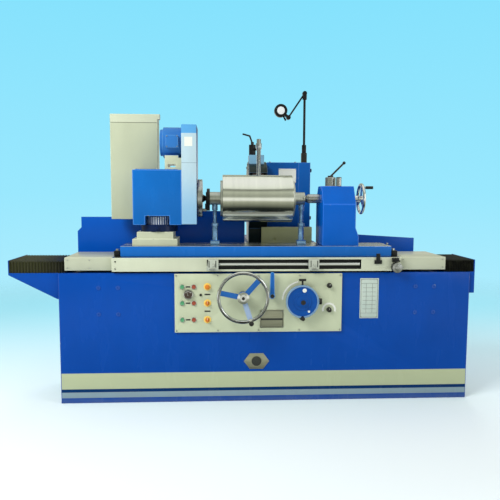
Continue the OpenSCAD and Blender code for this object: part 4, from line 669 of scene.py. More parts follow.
def arc_band(centre, inner, outer, from_turn, to_turn, thick, y):
    """A flat band of a circle on an upright face, between two turns in degrees."""
    steps = max(8, int(abs(to_turn - from_turn) / 4))
    deselect()
    bpy.ops.mesh.primitive_grid_add(x_subdivisions=steps, y_subdivisions=1, size=1)
    band = bpy.context.object
    for vertex in band.data.vertices:
        turn = radians(from_turn + (vertex.co.x + 0.5) * (to_turn - from_turn))
        reach = inner if vertex.co.y < 0 else outer
        vertex.co = (centre[0] + reach * cos(turn), y, centre[1] + reach * sin(turn))
    thicken(band, thick, 0)
    face_out()
    return band


def tick(centre, inner, outer, turn, width, thick, y):
    """One radial mark of a scale on an upright face."""
    mark = plate((inner, y - thick / 2, -width / 2), (outer, y + thick / 2, width / 2))
    x, z = centre
    mark.data.transform(Matrix.Translation((x, 0, z)) @ Matrix.Rotation(-radians(turn), 4, "Y"))
    return mark


dial_centre = dial_x, dial_z = (0.172, 0.533)
knob_centre = knob_x, knob_z = (0.316, 0.483)
mark_t = 0.0006
mark_y = panel_y - mark_t / 2
scales = [arc_band(dial_centre, 0.0935, 0.1005, 100, 178, mark_t, mark_y)]
scales += [tick(dial_centre, 0.1005, 0.1045, turn, 0.0012, mark_t, mark_y) for turn in range(102, 180, 6)]
scales += [arc_band(knob_centre, 0.027, 0.036, -18, 196, mark_t, mark_y)]
scales += [tick(knob_centre, 0.037, 0.041, turn, 0.0014, mark_t, mark_y) for turn in range(-18, 200, 24)]
attach(together(scales), "printed_scales", print_finish, "bed")


# Plates: a name plate on the panel, a chart plate and a badge on the bed, all bare, in satin
# aluminium with rolled borders, each held by drive rivets.
plate_finish = surface("satin_plate", (138, 140, 120), (188, 190, 168), (900, 2, (0.02, 1, 1)),
                       None, 0.00008, 0.3, 0.75, 0.2)
chart_finish = surface("chart_plate", (178, 196, 190), (200, 212, 200), (30, 4),
                       (900, 2, (0.05, 1, 1)), 0.00006, 0.42, 0.15)
plate_ink = surface("etched_black", (30, 34, 32), (58, 62, 56), (200, 4), (1200,), 0.00005)
paint_faces(dressed("plates", plate_finish, 0.0006), chart_finish, lambda at, out: at.x > 0.4)
name_x, name_y, name_z = 0.020, panel_y - 0.002, 0.437
chart_x, chart_y, chart_z = 0.528, -0.622, 0.539
badge_x, badge_z = -0.057, 0.212


def ink_line(x, z, half_w, half_h, y):
    """A line or bar of ink round its middle on an upright plate."""
    return plate((x - half_w, y - 0.0004, z - half_h), (x + half_w, y, z + half_h))


def border(x, z, half_w, half_h, width, y):
    """A narrow frame of ink on an upright plate."""
    half = width / 2
    return ([ink_line(x, z + side * (half_h - half), half_w, half, y) for side in (1, -1)]
            + [ink_line(x + side * (half_w - half), z, half, half_h, y) for side in (-1, 1)])


ink = border(name_x, name_z, 0.057, 0.043, 0.0016, name_y)
ink += [ink_line(name_x, name_z - 0.002, 0.057, 0.005, name_y)]
ink += border(chart_x, chart_z, 0.044, 0.100, 0.0012, chart_y)
ink += [ink_line(chart_x, chart_z - 0.1 + row * 0.2 / 9, 0.044 if row in (1, 8) else 0.034, 0.0005, chart_y)
        for row in range(1, 9)]
ink += [ink_line(chart_x + x, chart_z, 0.0005, 0.078, chart_y) for x in (-0.016, 0.016)]
attach(together(ink), "plate_lines", plate_ink, "bed")


def mount(piece, place, name, finish, body, axis=front):
    """Stands a piece that was made along Z in its place, and finishes it."""
    return attach(stand(piece, place, axis), name, finish, body)


mount(turned([(0, 0.0255), (0.0012, 0.0255), (0.0018, 0.0235)], 48),
      (badge_x, chart_y, badge_z), "badge_disc", plate_ink, "bed")
row_of(turned([(0, 0.0026), (0.0007, 0.0026), (0.0013, 0.0018), (0.0015, 0.0008)], 16), "plate_rivets",
       [(name_x + x, name_y, name_z + z) for x in (-0.0535, 0.0535) for z in (-0.0395, 0.0395)]
       + [(chart_x + x, chart_y, chart_z + z) for x in (-0.0405, 0.0405) for z in (-0.0965, 0.0965)]
       + [(badge_x + x, chart_y, badge_z) for x in (-0.056, 0.056)], "bed")


# Instruments: a load meter with its needle and scale, a signal lamp, an indicator, and the
# bezels and back plates that the buttons and selectors sit in.
def plastic(name, paint, roughness=0.32):
    """Moulded plastic: an even colour with faint flow marks, dust and a fine matt grain."""
    finish = Finish(name, coat=0.1)
    flow = finish.grain(120, 4)
    finish.paint(flow, tint(paint, 0.85), tint(paint, 1.2))
    finish.feed("Roughness", flow * 0.2 + (roughness - 0.1))
    finish.bump(finish.grain(1800, 1), 0.00006)
    return finish


chrome_finish = surface("chrome", (206, 210, 210), (236, 240, 240), (60, 5), (24,), 0.0001, 0.04, 1, 0.16)
black_finish = plastic("black_plastic", colour(20, 20, 20))
orange_finish = plastic("orange_plastic", colour(208, 118, 24))
instruments = dressed("instruments", chrome_finish, 0.0005)
meter_centre = meter_x, meter_z = (-0.407, 0.567)
meter_r = 0.025
indicator_x = -0.344
paint_faces(instruments, plastic("yellow_plate", colour(240, 204, 96)),
            lambda at, out: abs(at.x - selector_x) < 0.021)
paint_faces(instruments, black_finish, lambda at, out: abs(at.x - meter_x) < 0.026
            and abs(at.z - meter_z) < 0.026 or abs(at.x - indicator_x) < 0.008)
paint_faces(instruments, orange_finish, lambda at, out: abs(at.x - selector_x) < 0.016
            and at.z > 0.585 and at.y < panel_y - 0.003)
mount(turned([(0, meter_r), (0.0016, meter_r * 0.98), (0.0022, meter_r * 0.92), (0.0016, meter_r * 0.84),
              (0.0004, meter_r * 0.82)], 48),
      (meter_x, panel_y - 0.012, meter_z), "meter_ring", chrome_finish, "bed")
mount(turned([(0, meter_r * 0.81), (0.0008, meter_r * 0.8)], 48), (meter_x, panel_y - 0.0122, meter_z),
      "meter_face", plastic("meter_face", colour(62, 48, 40), 0.5), "bed")
scale_y = panel_y - 0.0132
marks = [arc_band(meter_centre, 0.0150, 0.0158, 35, 145, 0.0002, scale_y)]
marks += [tick(meter_centre, 0.0158, 0.0178, turn, 0.0006, 0.0002, scale_y) for turn in range(35, 146, 11)]
marks += [tick((meter_x, meter_z - 0.006), 0.0, 0.019, 112, 0.0008, 0.0003, scale_y - 0.0003)]
attach(together(marks), "meter_scale", print_finish, "bed")
mount(turned([(0, 0.0128), (0.003, 0.0126), (0.006, 0.0110), (0.008, 0.0078), (0.009, 0.003)], 36),
      (selector_x, panel_y - 0.014, button_zs[0]), "signal_lens", orange_finish, "bed")


# Push buttons: green to start and red to stop, three pairs, each a moulded cap with a dished
# face in a chromed bezel.
for kind, slot, paint in (("start", "green_plastic", colour(76, 150, 104)),
                          ("stop", "red_plastic", colour(150, 66, 42))):
    button_finish = plastic(slot, paint)
    for level in ("top", "middle", "bottom"):
        node = f"{kind}_button_{level}"
        low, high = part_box(node)
        cap_r = (high.x - low.x) / 2
        cap_l = high.y - low.y
        cap = turned([(0, cap_r), (cap_l - 0.0012, cap_r), (cap_l - 0.0003, cap_r * 0.93),
                      (cap_l, cap_r * 0.84), (cap_l - 0.0005, cap_r * 0.66),
                      (cap_l - 0.0010, cap_r * 0.3)], 36)
        mount(cap, ((low.x + high.x) / 2, high.y, (low.z + high.z) / 2), node + "_cap",
              button_finish, node)
        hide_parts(node)


# Selectors and feed knobs: moulded grips on round bases, each with an inlaid white line, and
# fluted skirts on the feed knobs.
def round_from(x, y, z, reach, turn):
    """The place at a turn in degrees round an axis that runs to the front."""
    return (x + reach * cos(radians(turn)), y, z + reach * sin(radians(turn)))


for level, z in (("upper", button_zs[1]), ("lower", button_zs[2])):
    node = f"selector_{level}"
    face_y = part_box(node)[0].y
    dressed(node, orange_finish, 0.0012, segments=3)
    line = plate((selector_x - 0.0008, face_y - 0.0003, z + 0.002),
                 (selector_x + 0.0008, face_y + 0.001, z + 0.0125))
    attach(line, node + "_line", print_finish, node, 0.0002)
for name, z in (("speed", 0.609), ("dwell", knob_z)):
    node = name + "_knob"
    low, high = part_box(node)
    knob_r = (high.x - low.x) / 2
    dressed(node, black_finish, 0.0008)
    row_of(turned([(0, 0.0012), (0.013, 0.0012), (0.0138, 0.0006)], 8), node + "_flutes",
           [round_from(knob_x, panel_y - 0.0055, z, knob_r * 0.8, turn) for turn in range(0, 360, 20)],
           node, front, black_finish)
    line = plate((knob_x - 0.0008, low.y - 0.0002, z + 0.002),
                 (knob_x + 0.0008, low.y + 0.001, z + knob_r * 0.72))
    attach(line, node + "_line", print_finish, node, 0.0002)


# Reversing lever: a forged arm on a shaft through the bed's front, enamelled blue, with a
# turned cap over the shaft's end.
def reach_of(at, x, z):
    """How far a place lies from an axis that runs to the front."""
    return hypot(at.x - x, at.z - z)


lever_x, lever_z = 0.019, 0.560
lever_face = -0.6642
lever = dressed("reversing_lever", enamel("lever_enamel", colour(28, 92, 164), 0.24, flow=0.5), 0.0028,
                worn_and_highlit("lever_edge", colour(60, 128, 196)), 3)
paint_faces(lever, black_finish, lambda at, out: at.y > panel_y + 0.001
            or at.y < lever_face and reach_of(at, lever_x, lever_z) < 0.0108)
mount(turned([(0, 0.0102), (0.0012, 0.0098), (0.002, 0.0085), (0.0016, 0.004)], 32),
      (lever_x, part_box("reversing_lever")[0].y, lever_z), "reversing_lever_cap", black_finish,
      "reversing_lever")


# Table handwheel: a cast wheel with a chromed rim, enamelled spokes, a chromed hub cap with a
# dark centre, and a black turning grip on its own pin.
def front_ring(name, centre, radius, width, thick, finish, body):
    """A turned ring with rounded shoulders on a face that looks to the front."""
    mount(turned([(0, radius), (thick * 0.7, radius), (thick, radius - thick * 0.3),
                  (thick, radius - width + thick * 0.3), (thick * 0.6, radius - width)], 64),
          centre, name, finish, body)


hand_x, hand_y, hand_z = -0.131, -0.710, 0.561
spoke_y = hand_y - 0.007
rim_back = -0.7185
rim_reach = 0.105
hand_wheel = dressed("table_handwheel", chrome_finish, 0.0008)
smooth(40)
paint_faces(hand_wheel, enamel("spoke_enamel", colour(36, 92, 160), 0.24, flow=0.3),
            lambda at, out: 0.026 < reach_of(at, hand_x, hand_z) < rim_reach and at.y > spoke_y)
# Painted reflection: the spokes below the hub are painted pale blue.
paint_faces(hand_wheel, enamel("spoke_painted_reflection", colour(150, 172, 200), 0.2, flow=0.3),
            lambda at, out: 0.030 < reach_of(at, hand_x, hand_z) < rim_reach
            and at.z < hand_z - 0.02 and at.y > spoke_y)
paint_faces(hand_wheel, black_finish, lambda at, out: at.y < rim_back
            and reach_of(at, hand_x, hand_z) > 0.05)
hand_front = hand_y - 0.017
front_ring("handwheel_cap", (hand_x, hand_front - 0.004, hand_z), 0.0172, 0.005, 0.002,
           chrome_finish, "table_handwheel")
mount(turned([(0, 0.0088), (0.002, 0.0086), (0.0028, 0.0068), (0.0028, 0.002)], 6),
      (hand_x, hand_front - 0.0042, hand_z), "handwheel_nut", black_finish, "table_handwheel")
mount(turned([(0, 0.0085), (0.001, 0.008), (0.0018, 0.006), (0.0018, 0.003)], 24),
      round_from(hand_x, -0.781, hand_z, rim_reach, 288), "handwheel_grip_end", chrome_finish,
      "table_handwheel")


# Infeed dial: a drum with a graduated pale rim, an enamelled disc with a dark hub and two
# pale inlays, a black T handle across it, a side knob and a bottom grip.
dial_finish = enamel("dial_enamel", colour(12, 72, 148), 0.3, flow=0.4)
across = dial_finish.x - dial_x
above = dial_finish.z - dial_z
dial_reach = (across * across + above * above).math("SQRT")
dial_mark = dial_finish.step((above.math("ARCTAN2", across) * (80 / tau)).math("FRACT"), 0.34, 0.26) * 0.8
dial_finish.cover(dial_finish.step(dial_reach, 0.0752, 0.0758),
                  dial_finish.blend(dial_mark, colour(132, 166, 196), colour(28, 48, 78)))
dial_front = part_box("infeed_wheel")[0].y
dial_face = -0.676
drum_back = -0.6575
drum_r = 0.0858
hub_r = 0.045
paint_faces(dressed("infeed_wheel", dial_finish, 0.0007), black_finish,
            lambda at, out: at.y > drum_back or reach_of(at, dial_x, dial_z) > drum_r
            or at.y < dial_front + 0.0205 and reach_of(at, dial_x, dial_z) > hub_r)
front_ring("dial_nut", (dial_x, dial_front + 0.0005, dial_z), 0.0125, 0.006, 0.0005,
           black_finish, "infeed_wheel")
front_ring("dial_hub_ring", (dial_x, dial_face, dial_z), 0.046, 0.004, 0.003, dial_finish,
           "infeed_wheel")
for turn, reach, radius in ((80, 0.058, 0.0105), (-57, 0.061, 0.006)):
    mount(turned([(0, radius), (0.0008, radius), (0.0012, radius * 0.85), (0.0012, radius * 0.3)], 24),
          round_from(dial_x, dial_face, dial_z, reach, turn), f"dial_inlay_{int(radius * 10000)}",
          print_finish, "infeed_wheel")


# Lower table: a long casting sprayed cream, with a milled groove in its front bar for the trip
# dogs. The groove's inside is painted near black as shade and holds a chromed rail.
bar_cream = colour(192, 198, 174)
table_edge = worn_and_highlit("table_edge", tint(bar_cream, 1.05))
groove_shade_finish = surface("groove_painted_shade", (16, 18, 20), (40, 42, 44), (80, 4),
                        (500, 2, (0.1, 1, 1)), 0.0002, 0.55, 0.4)
lower_table = dressed("lower_table", enamel("table_enamel", bar_cream, 0.3, 0.3, 0.5), 0.0016, table_edge)
groove_low = (-0.315, -0.634, 0.693)
groove_high = (0.482, -0.60, 0.745)
# Painted shade: the faces inside the groove are painted near black.
paint_faces(lower_table, groove_shade_finish,
            lambda at, out: all(a < b < c for a, b, c in zip(groove_low, at, groove_high)))
paint_faces(lower_table, way_finish,
            lambda at, out: out.z > 0.99 and at.y > groove_high[1] and at.z > 0.752)


# Table covers: two cream boxes that join the table's ends to the bellows, each held by a row
# of small screws along its front.
dressed("table_covers", enamel("cover_enamel", tint(bar_cream, 0.84), 0.32, 0.2, 0.6), 0.0016, table_edge)
row_of(turned([(0, 0.003), (0.0012, 0.003), (0.0018, 0.0022), (0.0010, 0.0012)], 16), "cover_screws",
       [(x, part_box("table_covers")[0].y, z) for x in (-1.014, -0.905, 0.706, 0.916)
        for z in (0.700, 0.740)], "lower_table")


# Table fittings: the chromed dog rail, two dark end clamps with their bolts, the pointer of the
# table scale and the bracket of the taper knob.
rail_finish = surface("chromed_rail", (196, 202, 206), (236, 240, 242), (260, 3, (0.02, 1, 1)), None,
                      0.00008, 0.06, 1, 0.16)
# Black oxide; the same finish also gives the dark strips of painted shade that stand for slots.
oxide_and_shade_finish = surface("black_oxide_and_shade", (22, 24, 26), (58, 60, 62), (150, 4), (900,), 0.00015, 0.3, 0.8, 0.2)
fittings = dressed("table_fittings", oxide_and_shade_finish, 0.0008)
paint_faces(fittings, rail_finish, lambda at, out: 0.710 < at.z < 0.728 and -0.4 < at.x < 0.5)
paint_faces(fittings, steel_finish, lambda at, out: at.z < 0.7095 or at.z > 0.7812)


# Trip dogs: two cast blocks clamped on the rail, each with a hardened strip where it meets
# the reversing lever and two slots for its clamp screws.
dog_finish = enamel("dog_enamel", colour(176, 182, 168), 0.32, flow=0.3)
dog_face = -0.6613
for node in ("dog_left", "dog_right"):
    low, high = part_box(node)
    paint_faces(dressed(node, dog_finish, 0.0014, segments=3), oxide_and_shade_finish,
                lambda at, out: at.z > 0.7475 or at.y < low.y + 0.004 and out.y > -0.5)
    dog_x = (low.x + high.x) / 2
    strip = plate((dog_x - 0.016, low.y - 0.0006, 0.6955), (dog_x + 0.016, low.y + 0.002, 0.7005))
    attach(strip, node + "_strip", steel_finish, node, 0.0005)
    # Painted shade: the clamp screw slots are dark strips on the dog's face.
    slots = [plate((slot_x - 0.0022, dog_face - 0.0004, 0.707), (slot_x + 0.0022, dog_face + 0.001, 0.741))
             for slot_x in (dog_x - 0.017, dog_x + 0.017)]
    attach(together(slots), node + "_slots", oxide_and_shade_finish, node, 0.0004)


# Taper knob: a turned steel knob with a knurled black grip and a bright face, on the screw
# that sets the upper table's taper.
low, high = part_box("taper_knob")
grip_r = (high.x - low.x) / 2 - 0.0006
taper_x, taper_z = 0.655, 0.705
paint_faces(dressed("taper_knob", steel_finish, 0.0008), black_finish,
            lambda at, out: at.y > low.y + 0.0032)
row_of(turned([(0, 0.0009), (0.014, 0.0009), (0.0146, 0.0004)], 6), "taper_knob_knurl",
       [round_from(taper_x, low.y + 0.0235, taper_z, grip_r, turn) for turn in range(0, 360, 9)],
       "taper_knob", front, black_finish)


# Upper table: a cast bar in blue that swivels on the lower one, with a ground top and a
# T slot along its middle, in which the tailstock and the steadies are clamped.
work_y, work_z = -0.445, 1.052
upper_blue = colour(24, 104, 190)
ground_finish = surface("ground_iron", (168, 176, 180), (226, 232, 232), (420, 3, (0.02, 1, 1)), None,
                        0.0001, 0.14, 1, 0.2, (9, 4), 0.4)
upper_table = dressed("upper_table", enamel("upper_enamel", upper_blue, 0.26, flow=0.6), 0.0016,
                      worn_and_highlit("upper_edge", tint(upper_blue, 1.1)))
upper_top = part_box("upper_table")[1].z
paint_faces(upper_table, ground_finish, lambda at, out: at.z > upper_top - 0.0022 and out.z > 0.3
            or abs(at.y - work_y) < 0.012 and at.z > 0.76 and -0.755 < at.x < 0.655)


# Work head base: a cream two step plinth, a dark flange with its clamp bolts and a blue ring
# with a pale swivel scale.
swivel_x = -0.568
flange_low, flange_top = 0.8785, 0.9155
bolt_r, bolt_z = 0.084, 0.915
swivel_finish = Finish("swivel_scale", 0.32, 0.1)
swivel_turn = (swivel_finish.y - work_y).math("ARCTAN2", swivel_finish.x - swivel_x)
swivel_mark = swivel_finish.step((swivel_turn * (36 / tau)).math("FRACT"), 0.5, 0.4)
swivel_finish.paint(swivel_finish.grain(70, 4), colour(22, 62, 120), colour(34, 78, 140))
swivel_finish.cover(swivel_mark, colour(222, 230, 232))
swivel_finish.bump(swivel_mark * -1.0, 0.0003)
plinth_finish = enamel("plinth_enamel", colour(186, 192, 166), 0.34, 0.2, 0.8)
head_base = dressed("head_base", plinth_finish, 0.0022, table_edge, 3)
paint_faces(head_base, enamel("flange_enamel", colour(10, 30, 66), 0.3, flow=0.5),
            lambda at, out: flange_low < at.z < flange_top)
paint_faces(head_base, swivel_finish, lambda at, out: at.z >= flange_top)
row_of(hexagon_bolt(0.007, 0.006), "flange_bolts",
       [(swivel_x + bolt_r * cos(radians(turn)), work_y + bolt_r * sin(radians(turn)), bolt_z)
        for turn in (20, 90, 160, 200, 340)], "upper_table", up)


# Work head body: a cast box in blue with an arched pocket at its foot, and a cast lid that is
# bolted down on its top.
head_finish = enamel("head_enamel", colour(14, 98, 176), 0.26, flow=0.9)
dressed("head_body", head_finish, 0.0035, worn_and_highlit("head_edge", colour(52, 122, 206)), 3)
low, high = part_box("head_body")
lid = plate((low.x + 0.012, low.y + 0.012, high.z - 0.0002), (high.x - 0.02, high.y - 0.012, high.z + 0.003))
attach(lid, "head_lid", head_finish, "upper_table", 0.0012)
row_of(hexagon_bolt(0.0045, 0.004), "head_lid_bolts",
       [(x, y, high.z + 0.003) for x in (low.x + 0.024, high.x - 0.13)
        for y in (low.y + 0.022, high.y - 0.022)], "upper_table", up)


# Drive cabinet: a sheet steel box in cream-grey behind the head, with a lidded top, a seam,
# louvres at the back and a latch on its right edge.
cabinet_paint = colour(180, 187, 160)
cabinet_finish = enamel("cabinet_enamel", cabinet_paint, 0.36, 0.2, 1.3)
seam_z = 1.459
cabinet_right = -0.5828
cabinet_finish.cover(cabinet_finish.step(cabinet_finish.z, seam_z, seam_z + 0.001) * 0.6,
                     colour(200, 206, 182))
cabinet_finish.cover(cabinet_finish.between(cabinet_finish.z, seam_z - 0.0022, seam_z + 0.001, 0.0006) * 0.8,
                     colour(70, 76, 66))
cabinet = dressed("drive_cabinet", cabinet_finish, 0.0028, worn_and_highlit("cabinet_edge", tint(cabinet_paint, 1.05)), 3)
paint_faces(cabinet, steel_finish, lambda at, out: at.x > cabinet_right)
louvre = plate((-0.05, -0.004, -0.0025), (0.05, 0.0, 0.0025))
select_faces(louvre, lambda at, out: out.y < -0.9)
bpy.ops.transform.translate(value=(0, 0, -0.005))
mode("OBJECT")
cabinet_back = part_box("drive_cabinet")[1].y
louvres = copies(louvre, [(-0.71, cabinet_back + 0.003, 1.02 + 0.022 * row) for row in range(8)])
attach(louvres, "cabinet_louvres", cabinet_finish, "upper_table", 0.0006)


# Work head belt cover: a tall narrow sheet cover, silvery cream in front and painted with a reflection
# that fades to blue at its foot, with a blue band at its top, a seam at mid height, a dark blue right side
# and a small bare label.
belt_cover_glare_finish = enamel("belt_cover_enamel_and_glare", colour(178, 204, 214), 0.28, 0.4, 0.8)
# Painted reflection: the glare fades to blue towards the cover's foot.
belt_cover_glare_finish.cover(belt_cover_glare_finish.step(belt_cover_glare_finish.z, 1.24, 0.95) * 0.75, colour(120, 176, 214))
belt_cover_glare_finish.cover(belt_cover_glare_finish.step(belt_cover_glare_finish.z, 1.383, 1.385), colour(84, 156, 210))
belt_cover_glare_finish.cover(belt_cover_glare_finish.between(belt_cover_glare_finish.z, 1.233, 1.235, 0.0005) * 0.7, colour(60, 84, 110))
paint_faces(dressed("head_belt_cover", belt_cover_glare_finish, 0.003, segments=3),
            enamel("belt_cover_blue", colour(14, 70, 146), 0.26, flow=0.6),
            lambda at, out: out.x > 0.8 or out.z > 0.8 or out.y > 0.8)
cover_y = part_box("head_belt_cover")[0].y
attach(plate((-0.427, cover_y - 0.0004, 1.318), (-0.386, cover_y, 1.365)), "cover_label",
       print_finish, "upper_table")


# Work head motor: a finned frame and end bell in mid blue on a cream bracket, with a terminal
# box whose lid is held by four screws.
def fins(name, from_x, to_x, y, z, inner, outer, count, body):
    """Cooling fins all round a motor's frame, thinner at their edge."""
    fin = plate((from_x, inner, -0.0011), (to_x, outer, 0.0011))
    select_faces(fin, lambda at, out: out.y > 0.9)
    bpy.ops.transform.resize(value=(0.97, 1, 0.5), center_override=((from_x + to_x) / 2, outer, 0))
    mode("OBJECT")
    made = copies(fin, [Matrix.Translation((0, y, z)) @ Matrix.Rotation(tau * i / count, 4, "X")
                        for i in range(count)])
    attach(made, name, motor_finish, body)


motor_finish = enamel("motor_enamel", colour(48, 112, 182), 0.34, flow=0.4)
motor_edge = worn_and_highlit("motor_edge", colour(90, 150, 206))
motor_z = 1.342
bracket_top = 1.2618
box_x, box_y = -0.490, -0.549
paint_faces(dressed("head_motor", motor_finish, 0.0012, motor_edge), plinth_finish,
            lambda at, out: at.z < bracket_top)
low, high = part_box("head_motor")
fins("head_motor_fins", low.x + 0.028, high.x - 0.012, work_y, motor_z, 0.0775, 0.0798, 40, "upper_table")
row_of(turned([(0, 0.0032), (0.0016, 0.0030), (0.0022, 0.002), (0.0012, 0.001)], 16), "terminal_screws",
       [(box_x + x, box_y, motor_z + z) for x in (-0.026, 0.026) for z in (-0.026, 0.026)],
       "upper_table")
dressed("motor_pulley", steel_finish, 0.0006)


# Face plate, driver pin and dead centre: turned and ground steel round the work axis, with
# the fine rings that the tool left.
faced_finish = Finish("faced_steel", metallic=1.0)
behind = faced_finish.y - work_y
above = faced_finish.z - work_z
faced_reach = (behind * behind + above * above).math("SQRT")
faced_ring = (faced_reach * 9000).math("SINE") * 0.5 + 0.5
faced_cloud = faced_finish.grain(60, 4)
faced_finish.paint(faced_ring * 0.4 + faced_cloud * 0.6, colour(120, 124, 126), colour(196, 200, 200))
faced_finish.feed("Roughness", faced_cloud * 0.2 + 0.18)
faced_finish.bump(faced_ring, 0.00005)
dressed("face_plate", faced_finish, 0.0012)
dressed("head_centre", faced_finish, 0.0006)


# Roll: the work piece, a turned and ground steel roller between centres, whose body shows the
# fine rings of the wheel and whose collars are rougher.
def off_axis(at):
    """How far a place lies from the work axis."""
    return hypot(at.y - work_y, at.z - work_z)


roll_finish = surface("ground_roll", (206, 210, 204), (246, 248, 240), (900, 4, (1, 0.006, 0.006)), None,
                      0.00005, 0.1, 1, 0.12, (46, 3, (1, 0.01, 0.01)), 0.5)
journal_finish = surface("turned_journal", (150, 156, 152), (214, 218, 208),
                         (500, 4, (1, 0.02, 0.02)), None, 0.0002, 0.24, 1, 0.25)
roll = dressed("roll", journal_finish, 0.0016)
smooth(20)
paint_faces(roll, roll_finish, lambda at, out: -0.2312 < at.x < 0.1382 and off_axis(at) > 0.1)
paint_faces(roll, oxide_and_shade_finish, lambda at, out: at.x < -0.2985)


# Steadies: two turned posts on square feet, with a lock nut and an adjusting screw under a
# small cradle for the roll's journals.
# The steadies' steel is tinted pale blue.
steady_finish = surface("blue_tinted_steel", (88, 138, 190), (150, 186, 216), (60, 4),
                        (700, 2, (1, 1, 0.05)), 0.00012, 0.16, 0.7, 0.2)
dressed("steadies", steady_finish, 0.0008)
foot_finish = enamel("steady_enamel", colour(18, 84, 160), 0.3, flow=0.4)
for name, x in (("left", -0.2723), ("right", 0.1925)):
    foot = plate((x - 0.024, -0.469, 0.8262), (x + 0.024, -0.421, 0.8282))
    attach(foot, f"steady_plate_{name}", foot_finish, "upper_table", 0.0008)


# Tailstock: a cast body in blue with a sloping back and a rounded crown, and a silver boss and
# a dark lock knob on top. Bolts through its foot hold it to the table.
tail_paint = colour(2, 88, 182)
boss_z = 1.1195
paint_faces(dressed("tailstock_body", enamel("tailstock_enamel", tail_paint, 0.22), 0.004,
                    worn_and_highlit("tailstock_edge", tint(tail_paint, 1.15)), 3),
            steel_finish, lambda at, out: at.z > boss_z)
mount(turned([(0, 0.0145), (0.002, 0.0145), (0.0035, 0.0125), (0.0035, 0.006)], 28),
      (0.386, -0.485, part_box("tailstock_body")[1].z - 0.004), "tailstock_lock_cap", black_finish,
      "tailstock", up)
row_of(hexagon_bolt(0.007, 0.006), "tailstock_bolts",
       [(0.474, y, 0.8235) for y in (-0.52, -0.39)], "tailstock", up)


# Quill, its handwheel and its clamp lever: a ground steel quill, a cast wheel with a chromed
# rim on blue spokes, and a black lever with a ball end.
dressed("quill", faced_finish, 0.0006)
tail_wheel = dressed("tail_wheel", chrome_finish, 0.0006)
paint_faces(tail_wheel, enamel("tail_spoke_enamel", colour(70, 112, 170), 0.24, flow=0.3),
            lambda at, out: 0.018 < off_axis(at) < 0.067 and at.x < 0.5225)
paint_faces(tail_wheel, black_finish, lambda at, out: at.x > 0.5262 and off_axis(at) > 0.03)
dressed("clamp_lever", black_finish, 0.0006)
deselect()
bpy.ops.mesh.primitive_uv_sphere_add(segments=28, ring_count=16, radius=0.0085)
ball = settle(bpy.context.object, "ball")
select_faces(ball, lambda at, out: out.z < -0.86)
bpy.ops.transform.resize(value=(1, 1, 0), center_override=(0, 0, -0.0073))
mode("OBJECT")
smooth(40)
low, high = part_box("clamp_lever")
mount(ball, (high.x - 0.006, (low.y + high.y) / 2, high.z - 0.006), "clamp_lever_ball", black_finish,
      "clamp_lever", (1, 0, 1))


# Wheelhead slide and swivel base: castings in blue that ride on the cross ways, with a way
# cover in front and clamp bolts along both sides.
slide_paint = colour(14, 74, 150)
slide_finish = enamel("slide_enamel", slide_paint, 0.28)
slide_edge = worn_and_highlit("slide_edge", tint(slide_paint, 1.2))
dressed("wheel_slide", slide_finish, 0.003, slide_edge, 3)
paint_faces(dressed("swivel_base", slide_finish, 0.003, slide_edge, 3),
            enamel("olive_enamel", colour(204, 208, 150), 0.4, 0.1, 0.6),
            lambda at, out: at.y < -0.2 and at.z > 0.7)
row_of(hexagon_bolt(0.009, 0.008), "slide_bolts",
       [(x, y, 0.790) for x in (-0.05, 0.31) for y in (0.0, 0.22, 0.44)], "wheelhead", up)


# Spindle housing: the wheelhead's cast box in blue, with a bare cream plate riveted to its
# front and hexagon bolts along its top.
housing_paint = colour(12, 82, 156)
housing_edge = worn_and_highlit("housing_edge", tint(housing_paint, 1.2))
dressed("spindle_housing", enamel("housing_enamel", housing_paint, 0.28), 0.0035, housing_edge, 3)
low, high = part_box("spindle_housing")
plate_y = low.y - 0.0016
housing_plate = plate((0.101, plate_y, 1.142), (0.203, low.y + 0.0005, 1.224))
recess(housing_plate, lambda at, out: out.y < -0.9, 0.004, 0.0008)
attach(housing_plate, "housing_plate", print_finish, "wheelhead", 0.0004)
row_of(turned([(0, 0.0024), (0.0008, 0.0024), (0.0014, 0.0014)], 16), "housing_rivets",
       [(x, plate_y, z) for x in (0.105, 0.199) for z in (1.146, 1.220)], "wheelhead")
row_of(hexagon_bolt(0.006, 0.005), "housing_bolts",
       [(x, y, high.z) for x in (0.05, 0.2) for y in (-0.12, -0.03, 0.06)], "wheelhead", up)


# Wheelhead belt case: a sheet cover down the right side of the housing, over the belts from
# the motor to the wheel spindle, with a dished lid held by four knobs.
case_finish = enamel("case_enamel", tint(housing_paint, 1.08), 0.3, flow=1.2)
socket_z = 1.262
paint_faces(dressed("belt_case", case_finish, 0.0035, housing_edge, 3), black_finish,
            lambda at, out: at.z > socket_z)
low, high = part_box("belt_case")
lid_x = high.x + 0.002
case_lid = plate((high.x - 0.0004, low.y + 0.03, 0.92), (lid_x, high.y - 0.03, high.z - 0.09))
recess(case_lid, lambda at, out: out.x > 0.9, 0.02, 0.001)
attach(case_lid, "belt_case_lid", case_finish, "wheelhead", 0.0008)
row_of(turned([(0, 0.006), (0.003, 0.006), (0.004, 0.011), (0.009, 0.011), (0.0105, 0.009)], 24),
       "belt_case_knobs", [(lid_x, y, z) for y in (low.y + 0.042, high.y - 0.042)
                           for z in (0.935, high.z - 0.105)],
       "wheelhead", (1, 0, 0), black_finish)


# Wheel motor: a finned motor in mid blue on the wheelhead's back, whose end bell looks left
# and has slots for the cooling air. Its pulley is inside the belt case.
wheel_motor_y, wheel_motor_z = 0.350, 1.021
dressed("wheel_motor", motor_finish, 0.0016, motor_edge)
fins("wheel_motor_fins", -0.03, 0.20, wheel_motor_y, wheel_motor_z, 0.1085, 0.1150, 36, "wheelhead")
